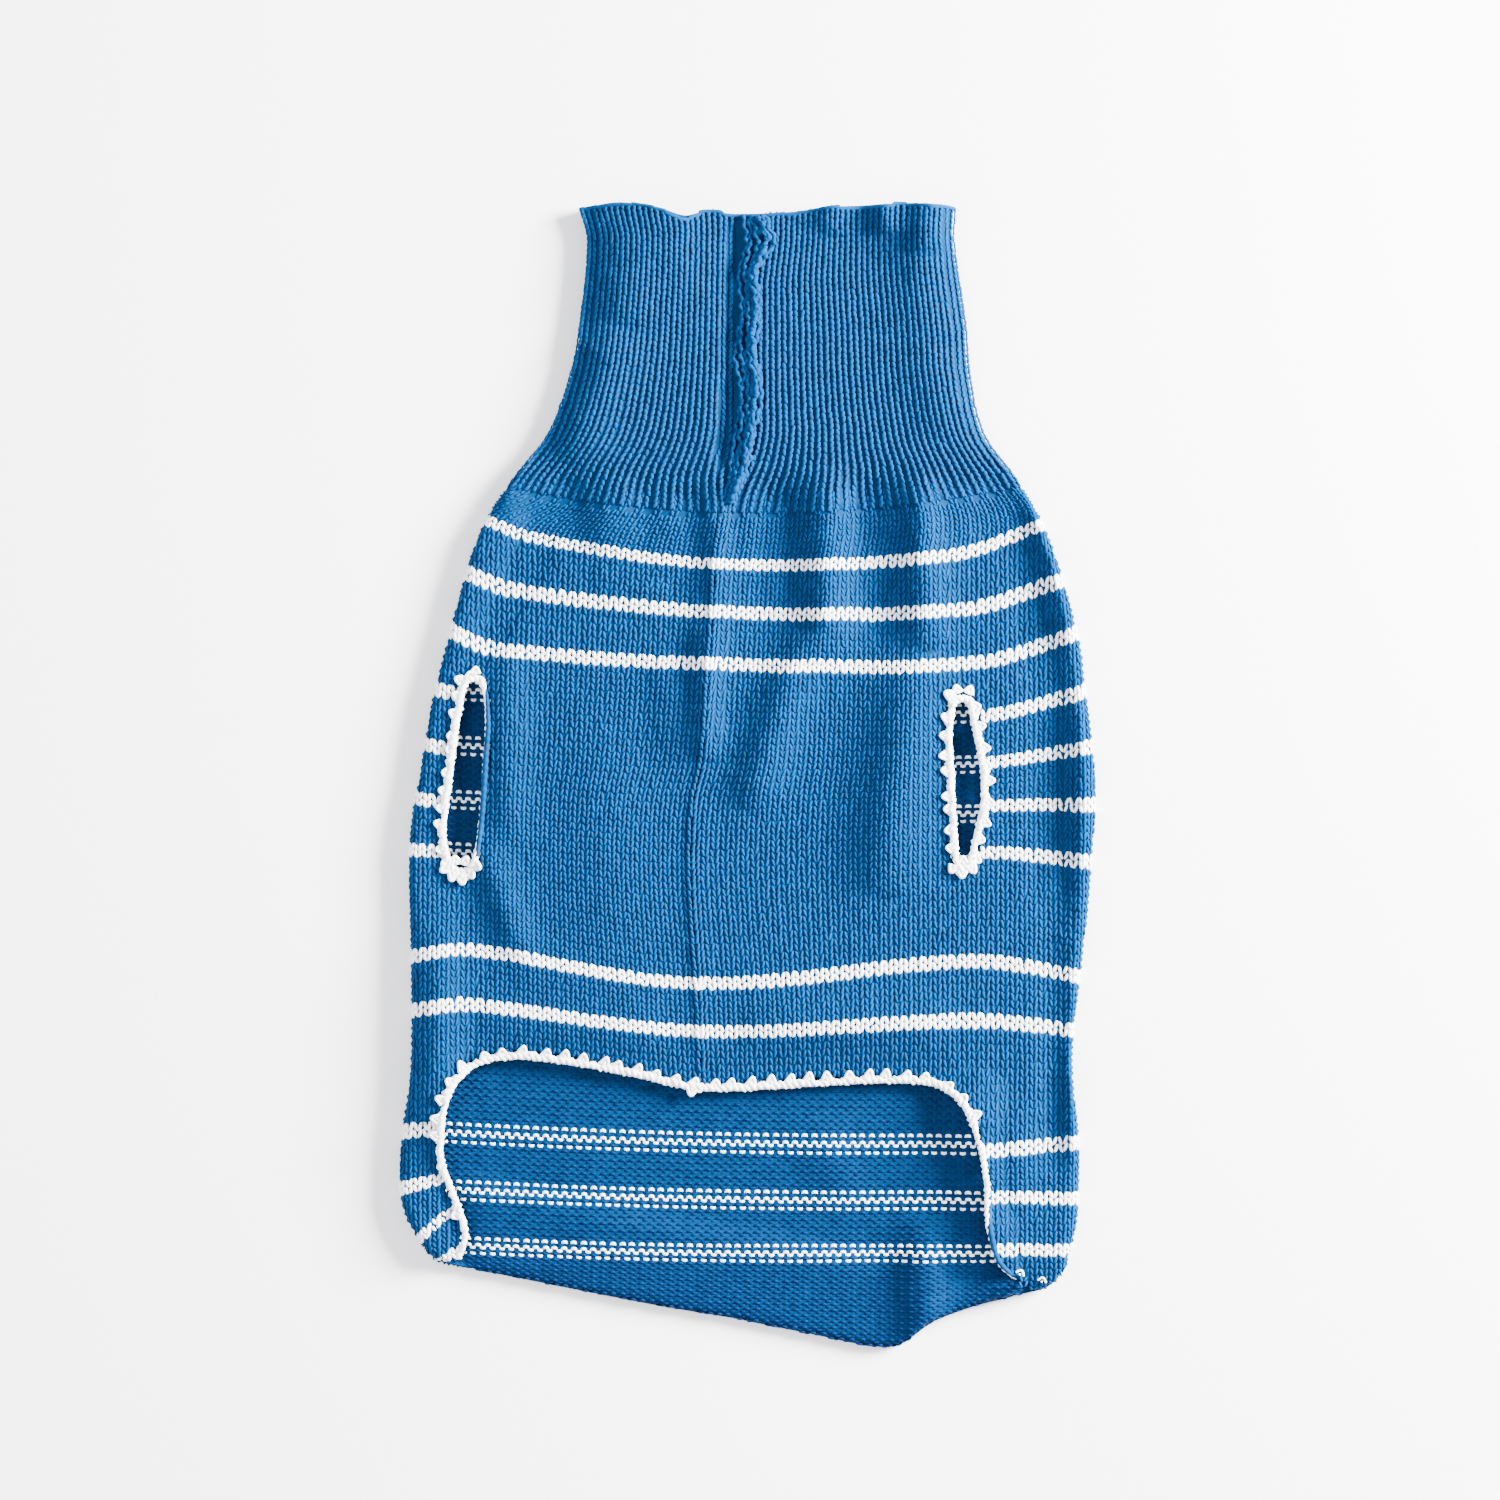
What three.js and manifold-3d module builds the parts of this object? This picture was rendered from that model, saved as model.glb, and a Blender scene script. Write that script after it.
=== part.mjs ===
// Knitted dog sweater, laid flat with its belly side up.
// Millimetres, +Z up, the neck towards +Y, the sweater's underside at Z = 0.
import * as THREE from 'three';
import { mergeVertices } from 'three/addons/utils/BufferGeometryUtils.js';
import Module from 'manifold-3d';

const wasm = await Module();
wasm.setup();

// Driving dimensions of the cloth
const WALL = 2.0;             // thickness of the knitted cloth
const GAP = 0.3;              // clearance between neighbouring pieces
const FOLD_RADIUS = 4.0;      // outer radius of the round side folds
const SAG_REACH = 20;         // distance inwards over which a side fold sinks to the middle
const BELLY_SAG = 2.2;        // how far the belly lies lower than its side folds
const COLLAR_SAG = 1.2;       // the same in the collar
const RIB_END = 83.5;         // where the ribbing ends at the middle
const RIB_END_RISE = 9.3;     // how much higher it ends at the side folds
const RIB_MIDDLE = 5;         // x of the ribbing's middle there
const RIB_SPREAD = 86;        // half the ribbing's width there
const CORNER_Y = -150.7;      // where the side folds turn into the bottom edge
const CORNER_X = 104.6;       // half the width between those two corners
const STRIP_SHARE = 0.86;     // share of the half width where the side strips begin

// Driving dimensions of the ribbing
const RIBS = 64;              // ribs round the collar
const RIB_HEIGHT = 0.9;       // how far a rib stands proud of its valleys
const RIM_FLARE = 0.7;        // how much further a rib reaches than its valleys at the rim

// Driving dimensions of the back hem, turned under towards the floor
const HEM_RADIUS = 2.2;       // half the height of the two turned layers
const TURN_DEPTH = 13;        // how far the turned layer reaches back
const EDGING_ROOM = 6.5;       // room behind it for its edging
const TURN_SLOPE = 10;        // length over which the back comes down to the floor again

// Driving dimensions of the crochet edging and the seams
const PICOT_PITCH = 6.2;      // distance between picots
const PICOT_LENGTH = 2.9;     // how far a picot lies over the cloth
const BAND_HALF = 1.3;        // half the width of the edging's band
const CUT_OUT = 1.5;          // distance from the band's middle to the cloth's cut edge
const BAND_RISE = 1.3;        // height of the band over the cloth
const SEAM_WIDTH = 3.0;       // belly seam ridge
const SEAM_RISE = 1.0;
const COLLAR_SEAM_WIDTH = 5.6;
const COLLAR_SEAM_RISE = 2.6;
const COLLAR_SEAM_TWIST = 17; // length of one turn of the twisting collar seam

const rows = (columns, values) => values.map(
  (row) => Object.fromEntries(columns.map((name, i) => [name, row[i]])));

// Outline from the hem corners up to the rim: x of the two side folds at each height
const OUTLINE = rows(['y', 'left', 'right'], [
  [-150.7, -104.6, 104.6],
  [-141.1, -109.8, 106.2],
  [-131.5, -111.7, 106.6],
  [-117.1, -111.0, 106.6],
  [-102.7, -109.1, 105.3],
  [-88.3, -107.8, 104.6],
  [-49.9, -108.2, 108.8],
  [-25.9, -108.8, 111.0],
  [-11.5, -107.2, 112.0],
  [2.9, -104.6, 111.7],
  [22.1, -101.4, 109.4],
  [41.3, -96.6, 106.9],
  [60.5, -91.5, 102.1],
  [74.9, -87.0, 97.3],
  [84.5, -82.2, 92.8],
  [94.1, -75.5, 86.7],
  [108.5, -63.7, 75.8],
  [127.7, -56.3, 71.0],
  [142.1, -53.4, 69.8],
  [170.9, -50.6, 65.9],
  [180.5, -53.1, 66.2],
]);

// Bottom edge of the back from corner to corner, where its hem turns under
const FLAP = rows(['x', 'y'], [
  [-104.6, -150.7],
  [-100.8, -155.0],
  [-93.0, -157.5],
  [-78.4, -160.3],
  [-29.4, -170.0],
  [-1.6, -174.7],
  [22.7, -179.5],
  [40.0, -183.0],
  [49.0, -182.8],
  [59.5, -175.5],
  [74.2, -170.0],
  [90.6, -166.0],
  [97.3, -164.0],
  [101.8, -159.0],
  [104.6, -150.7],
]);

// Rim of the collar: the ribs splay, so it runs in shallow waves with one notch
const RIM = rows(['x', 'y'], [
  [-53.1, 181.0],
  [-40.6, 182.6],
  [-27.8, 180.5],
  [-19.8, 178.2],
  [-13.4, 179.8],
  [-2.2, 178.9],
  [17.0, 179.8],
  [33.0, 181.4],
  [52.2, 181.8],
  [66.2, 181.4],
]);

// The seam wanders: x of its middle at each height, from the belly hem up to the rim
const SEAM = rows(['y', 'x'], [
  [-100.0, -14.4],
  [-67.5, -15.7],
  [-30.7, -18.0],
  [-8.3, -17.0],
  [4.5, -14.2],
  [36.5, -11.8],
  [68.5, -10.0],
  [94.1, -8.0],
  [100.5, -4.0],
  [110.1, -0.6],
  [126.1, 1.0],
  [142.1, -1.4],
  [151.7, 0.3],
  [164.5, -0.2],
  [173.4, 4.6],
  [182.0, 5.4],
]);

// Middle of the leg holes' edging: x of its two sides at each height
const LEG_HOLES = {
  left: rows(['y', 'left', 'right'], [
    [30.0, -89.5, -85.5],
    [18.0, -92.8, -83.5],
    [6.0, -94.4, -84.2],
    [-8.0, -96.3, -85.1],
    [-21.0, -97.3, -86.4],
    [-30.5, -93.8, -88.4],
  ]),
  right: rows(['y', 'left', 'right'], [
    [23.5, 66.6, 70.8],
    [14.0, 64.5, 73.3],
    [3.0, 64.9, 75.6],
    [-8.3, 65.5, 76.0],
    [-19.0, 66.2, 73.8],
    [-29.5, 67.7, 70.7],
  ]),
};

// Middle of the edging round the arched belly hem, from the left corner to the right
const ARCH = rows(['x', 'y'], [
  [-92.6, -155.0],
  [-90.4, -147.0],
  [-93.6, -136.0],
  [-97.6, -125.1],
  [-97.9, -113.9],
  [-95.7, -102.7],
  [-88.6, -93.6],
  [-76.0, -90.3],
  [-53.4, -92.5],
  [-34.2, -96.3],
  [-15.0, -100.3],
  [26.6, -98.6],
  [49.0, -97.9],
  [61.6, -99.6],
  [69.6, -106.0],
  [73.9, -117.1],
  [76.4, -130.0],
  [77.0, -146.0],
  [80.2, -156.5],
  [88.0, -163.4],
]);

// Soft creases of the belly side: a ridge or a trough from one end to the other
const CREASES = rows(['x0', 'y0', 'x1', 'y1', 'width', 'rise'], [
  [-4.5, 172, -7.5, 97, 3.2, -1.4],
  [13, 88, 16, 58, 8, -1.5],
  [14, 54, -3, 12, 8, -1.2],
  [41, 88, 46, 44, 7, -1.4],
  [-14, 60, -21, 10, 4, -0.8],
  [-22, 8, -20, -32, 4, -0.7],
  [101, 20, 101, -36, 5, -1.3],
  [98, -66, 99, -110, 4.5, -1.0],
  [-2, 88, -9, 22, 6, 1.3],
  [-13, 14, -13, -88, 6, 1.1],
  [29, 90, 30, 42, 6, 1.6],
  [-84, 86, -78, 58, 9, 0.8],
  [-80.5, 28, -82.5, -30, 3.2, 1.3],
  [88, -108, 90, -158, 9, 1.0],
  [40, -20, 34, -78, 16, 0.7],
  [-52, 20, -58, -60, 18, 0.6],
]);

// Soft creases of the back where it shows below the belly hem
const BACK_CREASES = rows(['x0', 'y0', 'x1', 'y1', 'width', 'rise'], [
  [60, -150, 70, -170, 8, 1.2],
  [20, -112, 44, -140, 9, 0.7],
  [-60, -118, -40, -150, 14, 0.5],
]);

const clamp = (v, low = 0, high = 1) => Math.min(Math.max(v, low), high);
const mix = (a, b, t) => a + (b - a) * t;
const smooth = (a, b, v) => {
  const t = clamp((v - a) / (b - a));
  return t * t * (3 - 2 * t);
};
const quarters = (n) => Array.from({ length: n + 1 }, (_, i) => (i / n) * (Math.PI / 2));

// Smooth curve through a table's rows: the value of column `to` where column `from` is `at`
function read(table, from, to, at) {
  const last = table.length - 1;
  const x = clamp(at, table[0][from], table[last][from]);
  let i = 0;
  while (i < last - 1 && table[i + 1][from] < x) i += 1;
  const slope = (a, b) => (table[b][to] - table[a][to]) / (table[b][from] - table[a][from]);
  const span = table[i + 1][from] - table[i][from];
  const t = (x - table[i][from]) / span;
  const start = span * slope(Math.max(i - 1, 0), i + 1);
  const end = span * slope(i, Math.min(i + 2, last));
  const square = t * t;
  const cube = square * t;
  return table[i][to] * (2 * cube - 3 * square + 1) + start * (cube - 2 * square + t)
    + table[i + 1][to] * (3 * square - 2 * cube) + end * (cube - square);
}

const left = (y) => read(OUTLINE, 'y', 'left', y);
const right = (y) => read(OUTLINE, 'y', 'right', y);
const seam = (y) => read(SEAM, 'y', 'x', y);
const flap = (x) => read(FLAP, 'x', 'y', clamp(x, -CORNER_X, CORNER_X));
const ribEnd = (x) => RIB_END + RIB_END_RISE * ((x - RIB_MIDDLE) / RIB_SPREAD) ** 2;

// Height that a table of creases adds at a point
function creased(table, x, y) {
  let rise = 0;
  for (const row of table) {
    const dx = row.x1 - row.x0;
    const dy = row.y1 - row.y0;
    const t = clamp(((x - row.x0) * dx + (y - row.y0) * dy) / (dx * dx + dy * dy));
    const away = Math.hypot(x - row.x0 - t * dx, y - row.y0 - t * dy) / row.width;
    rise += row.rise * Math.exp(-away * away);
  }
  return rise;
}

// Height of the back's upper face away from its folds: thicker where the hem is turned under
const stripShare = (x) => smooth(STRIP_SHARE - 0.06, STRIP_SHARE + 0.06, Math.abs(x) / CORNER_X);
function turned(x, y) {
  const inwards = y - flap(x) - HEM_RADIUS;
  const flat = TURN_DEPTH + EDGING_ROOM;
  return (1 - smooth(flat, flat + TURN_SLOPE, inwards)) * (1 - stripShare(x));
}
const backLift = (x, y) => creased(BACK_CREASES, x, y) * (1 - stripShare(x));
const backTop = (x, y) => mix(WALL, 2 * HEM_RADIUS, turned(x, y)) + backLift(x, y);

// Height of the belly side's outer face away from its folds
function frontTop(x, y, sag) {
  const inwards = Math.min(x - left(y), right(y) - x);
  const lying = 2 * FOLD_RADIUS - sag * smooth(FOLD_RADIUS, SAG_REACH, inwards);
  const lowest = backTop(x, y) + WALL + 1.3 * GAP;
  return Math.max(lying + creased(CREASES, x, y), lowest);
}

// Closed mesh from points and triangles, with its faces turned outwards
function solidMesh(name, points, faces, material) {
  let volume = 0;
  for (const [a, b, c] of faces) {
    volume += points[a].dot(new THREE.Vector3().crossVectors(points[b], points[c]));
  }
  const geometry = new THREE.BufferGeometry();
  const turn = ([a, b, c]) => (volume < 0 ? [a, c, b] : [a, b, c]);
  geometry.setAttribute('position', new THREE.Float32BufferAttribute(
    points.flatMap((p) => [p.x, p.y, p.z]), 3));
  geometry.setIndex(faces.flatMap(turn));
  geometry.computeVertexNormals();
  const mesh = new THREE.Mesh(geometry, material);
  mesh.name = name;
  return mesh;
}

// Sheet of cloth with two faces, from a grid of columns and rows
function sheet(name, columns, lines, upper, lower, material) {
  const points = [];
  const faces = [];
  const across = columns.length;
  const half = across * lines.length;
  for (const side of [upper, lower]) {
    for (const line of lines) {
      for (const column of columns) points.push(side(column, line));
    }
  }
  const quad = (a, b, c, d) => faces.push([a, b, c], [a, c, d]);
  for (let j = 0; j + 1 < lines.length; j += 1) {
    for (let i = 0; i + 1 < across; i += 1) {
      const a = j * across + i;
      quad(a, a + 1, a + across + 1, a + across);
      quad(half + a, half + a + across, half + a + across + 1, half + a + 1);
    }
  }
  const rim = [];
  for (let i = 0; i + 1 < across; i += 1) rim.push(i);
  for (let j = 0; j + 1 < lines.length; j += 1) rim.push(j * across + across - 1);
  for (let i = across - 1; i > 0; i -= 1) rim.push((lines.length - 1) * across + i);
  for (let j = lines.length - 1; j > 0; j -= 1) rim.push(j * across);
  rim.forEach((a, i) => {
    const b = rim[(i + 1) % rim.length];
    quad(b, a, half + a, half + b);
  });
  return solidMesh(name, points, faces, material);
}

// Solid swept through a list of sections with as many points each
function sweep(name, sections, closed, hub, material) {
  const points = sections.flat();
  const size = sections[0].length;
  const faces = [];
  const steps = closed ? sections.length : sections.length - 1;
  for (let j = 0; j < steps; j += 1) {
    const next = (j + 1) % sections.length;
    for (let i = 0; i < size; i += 1) {
      const k = (i + 1) % size;
      faces.push([j * size + i, j * size + k, next * size + k]);
      faces.push([j * size + i, next * size + k, next * size + i]);
    }
  }
  if (!closed) {
    const end = (sections.length - 1) * size;
    for (let i = 1; i + 1 < size; i += 1) {
      const a = (hub + i) % size;
      const b = (hub + i + 1) % size;
      faces.push([hub, b, a], [end + hub, end + a, end + b]);
    }
  }
  return solidMesh(name, points, faces, material);
}

// Columns of a sheet: angles round a side fold, then shares of the way across
const FOLD_STEPS = quarters(3);
const oneSide = (n, spread) => [
  ...FOLD_STEPS.map((angle) => ({ angle, share: 0 })),
  ...Array.from({ length: n }, (_, i) => ({
    angle: Math.PI / 2, share: spread((i + 1) / n) })),
];

// Lines of a sheet from its top edge down to the round bottom edge
const TOP_LINES = 12;
const HEM_LINES = [TURN_DEPTH + EDGING_ROOM + TURN_SLOPE, TURN_DEPTH + EDGING_ROOM,
  TURN_DEPTH + 0.5, TURN_DEPTH, 8];
function bodyLines() {
  const upper = Array.from({ length: TOP_LINES }, (_, j) => ({
    angle: Math.PI / 2, share: j / TOP_LINES, inwards: HEM_LINES[0] }));
  const hem = HEM_LINES.map((inwards) => ({ angle: Math.PI / 2, share: 1, inwards }));
  const round = [...FOLD_STEPS].reverse().map((angle) => ({ angle, share: 1, inwards: 0 }));
  return [...upper, ...hem, ...round];
}

// Place in plan of a column and a line. `inset` is the wall's thickness on an inner face.
// A point's x and y depend on each other through the outline, so they are found in passes.
const PASSES = 8;
function plan(column, line, edges, inset) {
  const turn = FOLD_RADIUS - (FOLD_RADIUS - inset) * Math.cos(column.angle);
  const flat = line.angle === Math.PI / 2 ? line.inwards : 0;
  let x = edges.side * CORNER_X * (1 - column.share);
  let y = 0;
  for (let pass = 0; pass < PASSES; pass += 1) {
    const strip = stripShare(x);
    const radius = mix(HEM_RADIUS, FOLD_RADIUS, strip);
    const bottom = flap(x) + radius - (radius - inset * strip) * Math.cos(line.angle) + flat;
    y = mix(ribEnd(x) - GAP / 2, bottom, line.share);
    const fold = edges.from(Math.max(y, CORNER_Y)) - edges.side * turn;
    x = mix(fold, edges.to(y), column.share);
  }
  return { x, y };
}

const yarn = (colour) => new THREE.MeshStandardMaterial({
  color: colour, roughness: 0.85, metalness: 0 });
const BLUE = 0x1b6fb8;
const WHITE = 0xf0f0f5;

// Columns stand closer near the side fold and the seam
const nearEnds = (share) => mix(share, (1 - Math.cos(Math.PI * share)) / 2, 0.5);

// Belly panel on one side of the seam: its outer face rounds down to half the fold's height
function bellySheet(name, side) {
  const edges = {
    side,
    from: side < 0 ? left : right,
    to: (y) => seam(y) + side * (GAP / 2),
  };
  const split = FOLD_RADIUS + GAP / 2;
  const round = (column, line) => Math.sin(column.angle) * Math.sin(line.angle);
  const upper = (column, line) => {
    const { x, y } = plan(column, line, edges, 0);
    const z = split + (frontTop(x, y, BELLY_SAG) - split) * round(column, line);
    return new THREE.Vector3(x, y, z);
  };
  const lower = (column, line) => {
    const { x, y } = plan(column, line, edges, WALL);
    const z = split + (frontTop(x, y, BELLY_SAG) - WALL - split) * round(column, line);
    return new THREE.Vector3(x, y, z);
  };
  return sheet(name, oneSide(13, nearEnds), bodyLines(), upper, lower, yarn(BLUE));
}

// Back panel: rounds up to half the fold's height, its hem turned under as one round edge
function backSheet() {
  const halves = [-1, 1].map((side) => ({
    side, from: side < 0 ? left : right, to: () => 0 }));
  const [leftHalf, rightHalf] = halves.map((_, half) => oneSide(11, (share) => share)
    .map((column) => ({ ...column, half })));
  const columns = [...leftHalf, ...rightHalf.reverse().slice(1)];
  const split = FOLD_RADIUS - GAP / 2;
  const height = (column, line, inset) => {
    const { x, y } = plan(column, line, halves[column.half], inset);
    const strip = stripShare(x);
    const round = Math.sin(column.angle) * Math.sin(line.angle);
    return { x, y, strip, round };
  };
  const upper = (column, line) => {
    const { x, y, strip, round } = height(column, line, WALL);
    const asFold = split - (split - backTop(x, y)) * round;
    const asHem = mix(HEM_RADIUS + GAP, backTop(x, y), round);
    return new THREE.Vector3(x, y, mix(asHem, asFold, strip));
  };
  const lower = (column, line) => {
    const { x, y, strip, round } = height(column, line, 0);
    const inwards = y - flap(x) - HEM_RADIUS;
    const room = smooth(TURN_DEPTH, TURN_DEPTH + 0.5, inwards) * turned(x, y) * (1 - strip);
    const flat = room * (2 * HEM_RADIUS - WALL) + backLift(x, y) * smooth(0, 8, inwards);
    return new THREE.Vector3(x, y, mix(mix(HEM_RADIUS - GAP, split, strip), flat, round));
  };
  return sheet('back_panel', columns, bodyLines(), upper, lower, yarn(BLUE));
}

// Collar: a tube of cloth with ribs on its outer face and a plain inside
const COLLAR_LINES = [0, 0.05, 0.15, 0.31, 0.47, 0.63, 0.76, 0.86, 1];
const RIB_POINTS = 3;
const rimAt = (x) => read(RIM, 'x', 'y', clamp(x, RIM[0].x, RIM[RIM.length - 1].x));

function collarPoint(turn, along, offset) {
  const middle = mix(RIM[0].y, RIB_END, along);
  const from = left(middle) + FOLD_RADIUS;
  const to = right(middle) - FOLD_RADIUS;
  const bend = (Math.PI / 2) * FOLD_RADIUS;
  const length = 2 * bend + to - from;
  const front = turn < 0.5;
  const at = (front ? turn : 1 - turn) * 2 * length;
  const flat = clamp(at - bend, 0, to - from);
  const angle = Math.min(at, bend) / FOLD_RADIUS + Math.max(at - bend - (to - from), 0) / FOLD_RADIUS;
  const radius = FOLD_RADIUS + offset;
  const plainX = from + flat - radius * Math.cos(angle);
  const share = clamp((plainX - left(middle)) / (right(middle) - left(middle)));
  let x = plainX;
  let y = middle;
  for (let pass = 0; pass < PASSES; pass += 1) {
    y = mix(rimAt(x), ribEnd(x) + GAP / 2, along);
    x = plainX + mix(left(y) - left(middle), right(y) - right(middle), share);
  }
  const rise = Math.sin(angle);
  if (!front) return new THREE.Vector3(x, y, FOLD_RADIUS - radius * rise);
  const top = frontTop(x, y, COLLAR_SAG) - 2 * FOLD_RADIUS;
  const z = FOLD_RADIUS + radius * rise + top * rise * smooth(0, FOLD_RADIUS, flat + FOLD_RADIUS * rise);
  return new THREE.Vector3(x, y, z);
}

function ribRise(turn, along) {
  const { x, y, z } = collarPoint(turn, along, 0);
  const underside = turn < 0.5 ? 1 : z / FOLD_RADIUS;
  const fromSeam = Math.abs(x - seam(y)) / COLLAR_SEAM_WIDTH;
  const clearOfSeam = smooth(0.8, 1.3, fromSeam);
  return RIB_HEIGHT * underside * (turn < 0.5 ? clearOfSeam : 1);
}

function collar() {
  const outer = RIBS * RIB_POINTS;
  const points = [];
  const faces = [];
  for (const along of COLLAR_LINES) {
    for (let i = 0; i < outer; i += 1) {
      const turn = i / outer;
      const crest = i % RIB_POINTS === 0 ? 0 : 1;
      const point = collarPoint(turn, along, crest * ribRise(turn, along));
      if (along === 0) point.y += crest * RIM_FLARE;
      points.push(point);
    }
  }
  const start = points.length;
  for (const along of COLLAR_LINES) {
    for (let i = 0; i < RIBS; i += 1) points.push(collarPoint(i / RIBS, along, -WALL));
  }
  const skin = (base, count) => {
    for (let j = 0; j + 1 < COLLAR_LINES.length; j += 1) {
      for (let i = 0; i < count; i += 1) {
        const a = base + j * count + i;
        const b = base + j * count + ((i + 1) % count);
        const order = base ? [[a, b, b + count], [a, b + count, a + count]]
          : [[a, b + count, b], [a, a + count, b + count]];
        faces.push(...order);
      }
    }
  };
  skin(0, outer);
  skin(start, RIBS);
  for (const line of [0, COLLAR_LINES.length - 1]) {
    for (let i = 0; i < RIBS; i += 1) {
      const a = start + line * RIBS + i;
      const b = start + line * RIBS + ((i + 1) % RIBS);
      const ring = Array.from({ length: RIB_POINTS + 1 },
        (_, k) => line * outer + ((i * RIB_POINTS + k) % outer));
      const fan = [];
      for (let k = 0; k < RIB_POINTS; k += 1) fan.push([a, ring[k], ring[k + 1]]);
      fan.push([a, ring[RIB_POINTS], b]);
      faces.push(...fan.map(([p, q, r]) => (line ? [p, r, q] : [p, q, r])));
    }
  }
  return solidMesh('collar', points, faces, yarn(BLUE));
}

// Cutting the leg holes and the arched hem out of a belly panel
function toManifold(mesh) {
  const bare = mesh.geometry.clone();
  bare.deleteAttribute('normal');
  bare.deleteAttribute('uv');
  const merged = mergeVertices(bare, 1e-4);
  return new wasm.Manifold(new wasm.Mesh({
    numProp: 3,
    vertProperties: new Float32Array(merged.attributes.position.array),
    triVerts: new Uint32Array(merged.index.array),
  }));
}

function fromManifold(solid, source) {
  const cut = solid.getMesh();
  const geometry = new THREE.BufferGeometry();
  geometry.setAttribute('position', new THREE.BufferAttribute(cut.vertProperties, 3));
  geometry.setIndex(new THREE.BufferAttribute(cut.triVerts, 1));
  geometry.computeVertexNormals();
  const mesh = new THREE.Mesh(geometry, source.material);
  mesh.name = source.name;
  return mesh;
}

function prism(outline) {
  const shape = new THREE.Shape(outline.map((p) => new THREE.Vector2(p.x, p.y)));
  const geometry = new THREE.ExtrudeGeometry(shape, { depth: 40, bevelEnabled: false });
  geometry.translate(0, 0, -10);
  return toManifold({ geometry });
}

// Points of a path and, at each, the direction in plan towards the cloth
function stations(path, count, closed) {
  const spots = closed ? count : count + 1;
  return Array.from({ length: spots }, (_, i) => {
    const point = path.getPointAt(i / count);
    const tangent = path.getTangentAt(i / count);
    return { point, out: new THREE.Vector2(-tangent.y, tangent.x), share: i / count };
  });
}

const movedOut = (spots, distance) => spots.map(({ point, out }) => new THREE.Vector2(
  point.x + out.x * distance, point.y + out.y * distance));

// Loop round a leg hole, run so that the cloth is on its left
function legPath(table) {
  const down = table.map((row) => new THREE.Vector3(row.right, row.y, 0));
  const up = table.map((row) => new THREE.Vector3(row.left, row.y, 0)).reverse();
  return new THREE.CatmullRomCurve3([...down, ...up], true, 'centripetal');
}
const archPath = new THREE.CatmullRomCurve3(
  ARCH.map((row) => new THREE.Vector3(row.x, row.y, 0)), false, 'centripetal');

// Crochet edging: a band along the cut edge with picots lying on the cloth
const PICOT_STEPS = [0, 1, 1];
const picotSpots = (path, closed) => stations(
  path, Math.round(path.getLength() / PICOT_PITCH) * PICOT_STEPS.length, closed);

function edging(name, path, closed, clothTop, clothUnder, shows) {
  const sections = picotSpots(path, closed).map(({ point, out, share }, i) => {
    const lobe = GAP + PICOT_LENGTH * PICOT_STEPS[i % PICOT_STEPS.length] * shows(share);
    const rise = mix(0.3, BAND_RISE, shows(share));
    const top = (n) => clothTop(point.x + out.x * n, point.y + out.y * n);
    const at = (n, z) => new THREE.Vector3(point.x + out.x * n, point.y + out.y * n, z);
    const seat = CUT_OUT - GAP;
    const bed = top(seat) + 1.7 * GAP;
    const tip = Math.max(bed, top(seat + lobe) + 1.7 * GAP);
    const low = clothUnder(point.x, point.y);
    return [
      at(-BAND_HALF, low), at(seat, low), at(seat, bed), at(seat + lobe, tip),
      at(seat + lobe * 0.8 - 0.2, tip + rise), at(0.3 - BAND_HALF, bed + rise),
    ];
  });
  return sweep(name, sections, closed, 2, yarn(WHITE));
}

// Ridge of a sewn seam lying on the cloth, its crest swinging from side to side
function seamRidge(name, yFrom, yTo, steps, width, rise, twist, clothTop) {
  const sections = Array.from({ length: steps + 1 }, (_, i) => {
    const y = mix(yFrom, yTo, i / steps);
    const x = seam(y);
    const swing = twist ? Math.sin((2 * Math.PI * (y - yFrom)) / twist) : 0;
    const ends = Math.min(1, 0.4 + 4 * Math.min(i, steps - i) / steps);
    const bed = Math.max(...[-0.7, 0, 0.7].map((k) => clothTop(x + k * width, y))) + 1.2 * GAP;
    const at = (k, h) => new THREE.Vector3(x + k * width, y, bed + h * rise * ends);
    return [at(-0.5, 0), at(0.5, 0), at(0.4, 0.6 + 0.25 * swing), at(0.12 * swing, 1),
      at(-0.4, 0.6 - 0.25 * swing)];
  });
  return sweep(name, sections, false, 0, yarn(BLUE));
}

const bellyTop = (x, y) => frontTop(x, y, BELLY_SAG);
const bellyUnder = (x, y) => Math.max(bellyTop(x, y) - WALL, backTop(x, y) + GAP);
const collarTop = (x, y) => frontTop(x, y, COLLAR_SAG);

// The edging that goes on round the back's turned hem, lying in the room behind it
function backEdging() {
  const reach = (STRIP_SHARE - 0.08) * CORNER_X;
  const away = HEM_RADIUS + TURN_DEPTH + 0.5 + 3 * GAP + BAND_HALF;
  const points = Array.from({ length: 25 }, (_, i) => {
    const x = mix(-reach, reach, i / 24);
    return new THREE.Vector3(x, flap(x) + away, 0);
  });
  const path = new THREE.CatmullRomCurve3(points);
  const sections = picotSpots(path, false).map(({ point, out }, i) => {
    const lobe = 0.7 * PICOT_STEPS[i % PICOT_STEPS.length];
    const at = (n, z) => new THREE.Vector3(point.x + out.x * n, point.y + out.y * n, z);
    const high = 2 * HEM_RADIUS - WALL - 2.3 * GAP;
    return [at(-BAND_HALF, 0), at(BAND_HALF - 0.4 + lobe, 0), at(BAND_HALF - 0.2 + lobe, high * 0.7),
      at(BAND_HALF - 0.6, high), at(-BAND_HALF, high)];
  });
  return sweep('hem_edging_back', sections, false, 0, yarn(WHITE));
}

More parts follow.
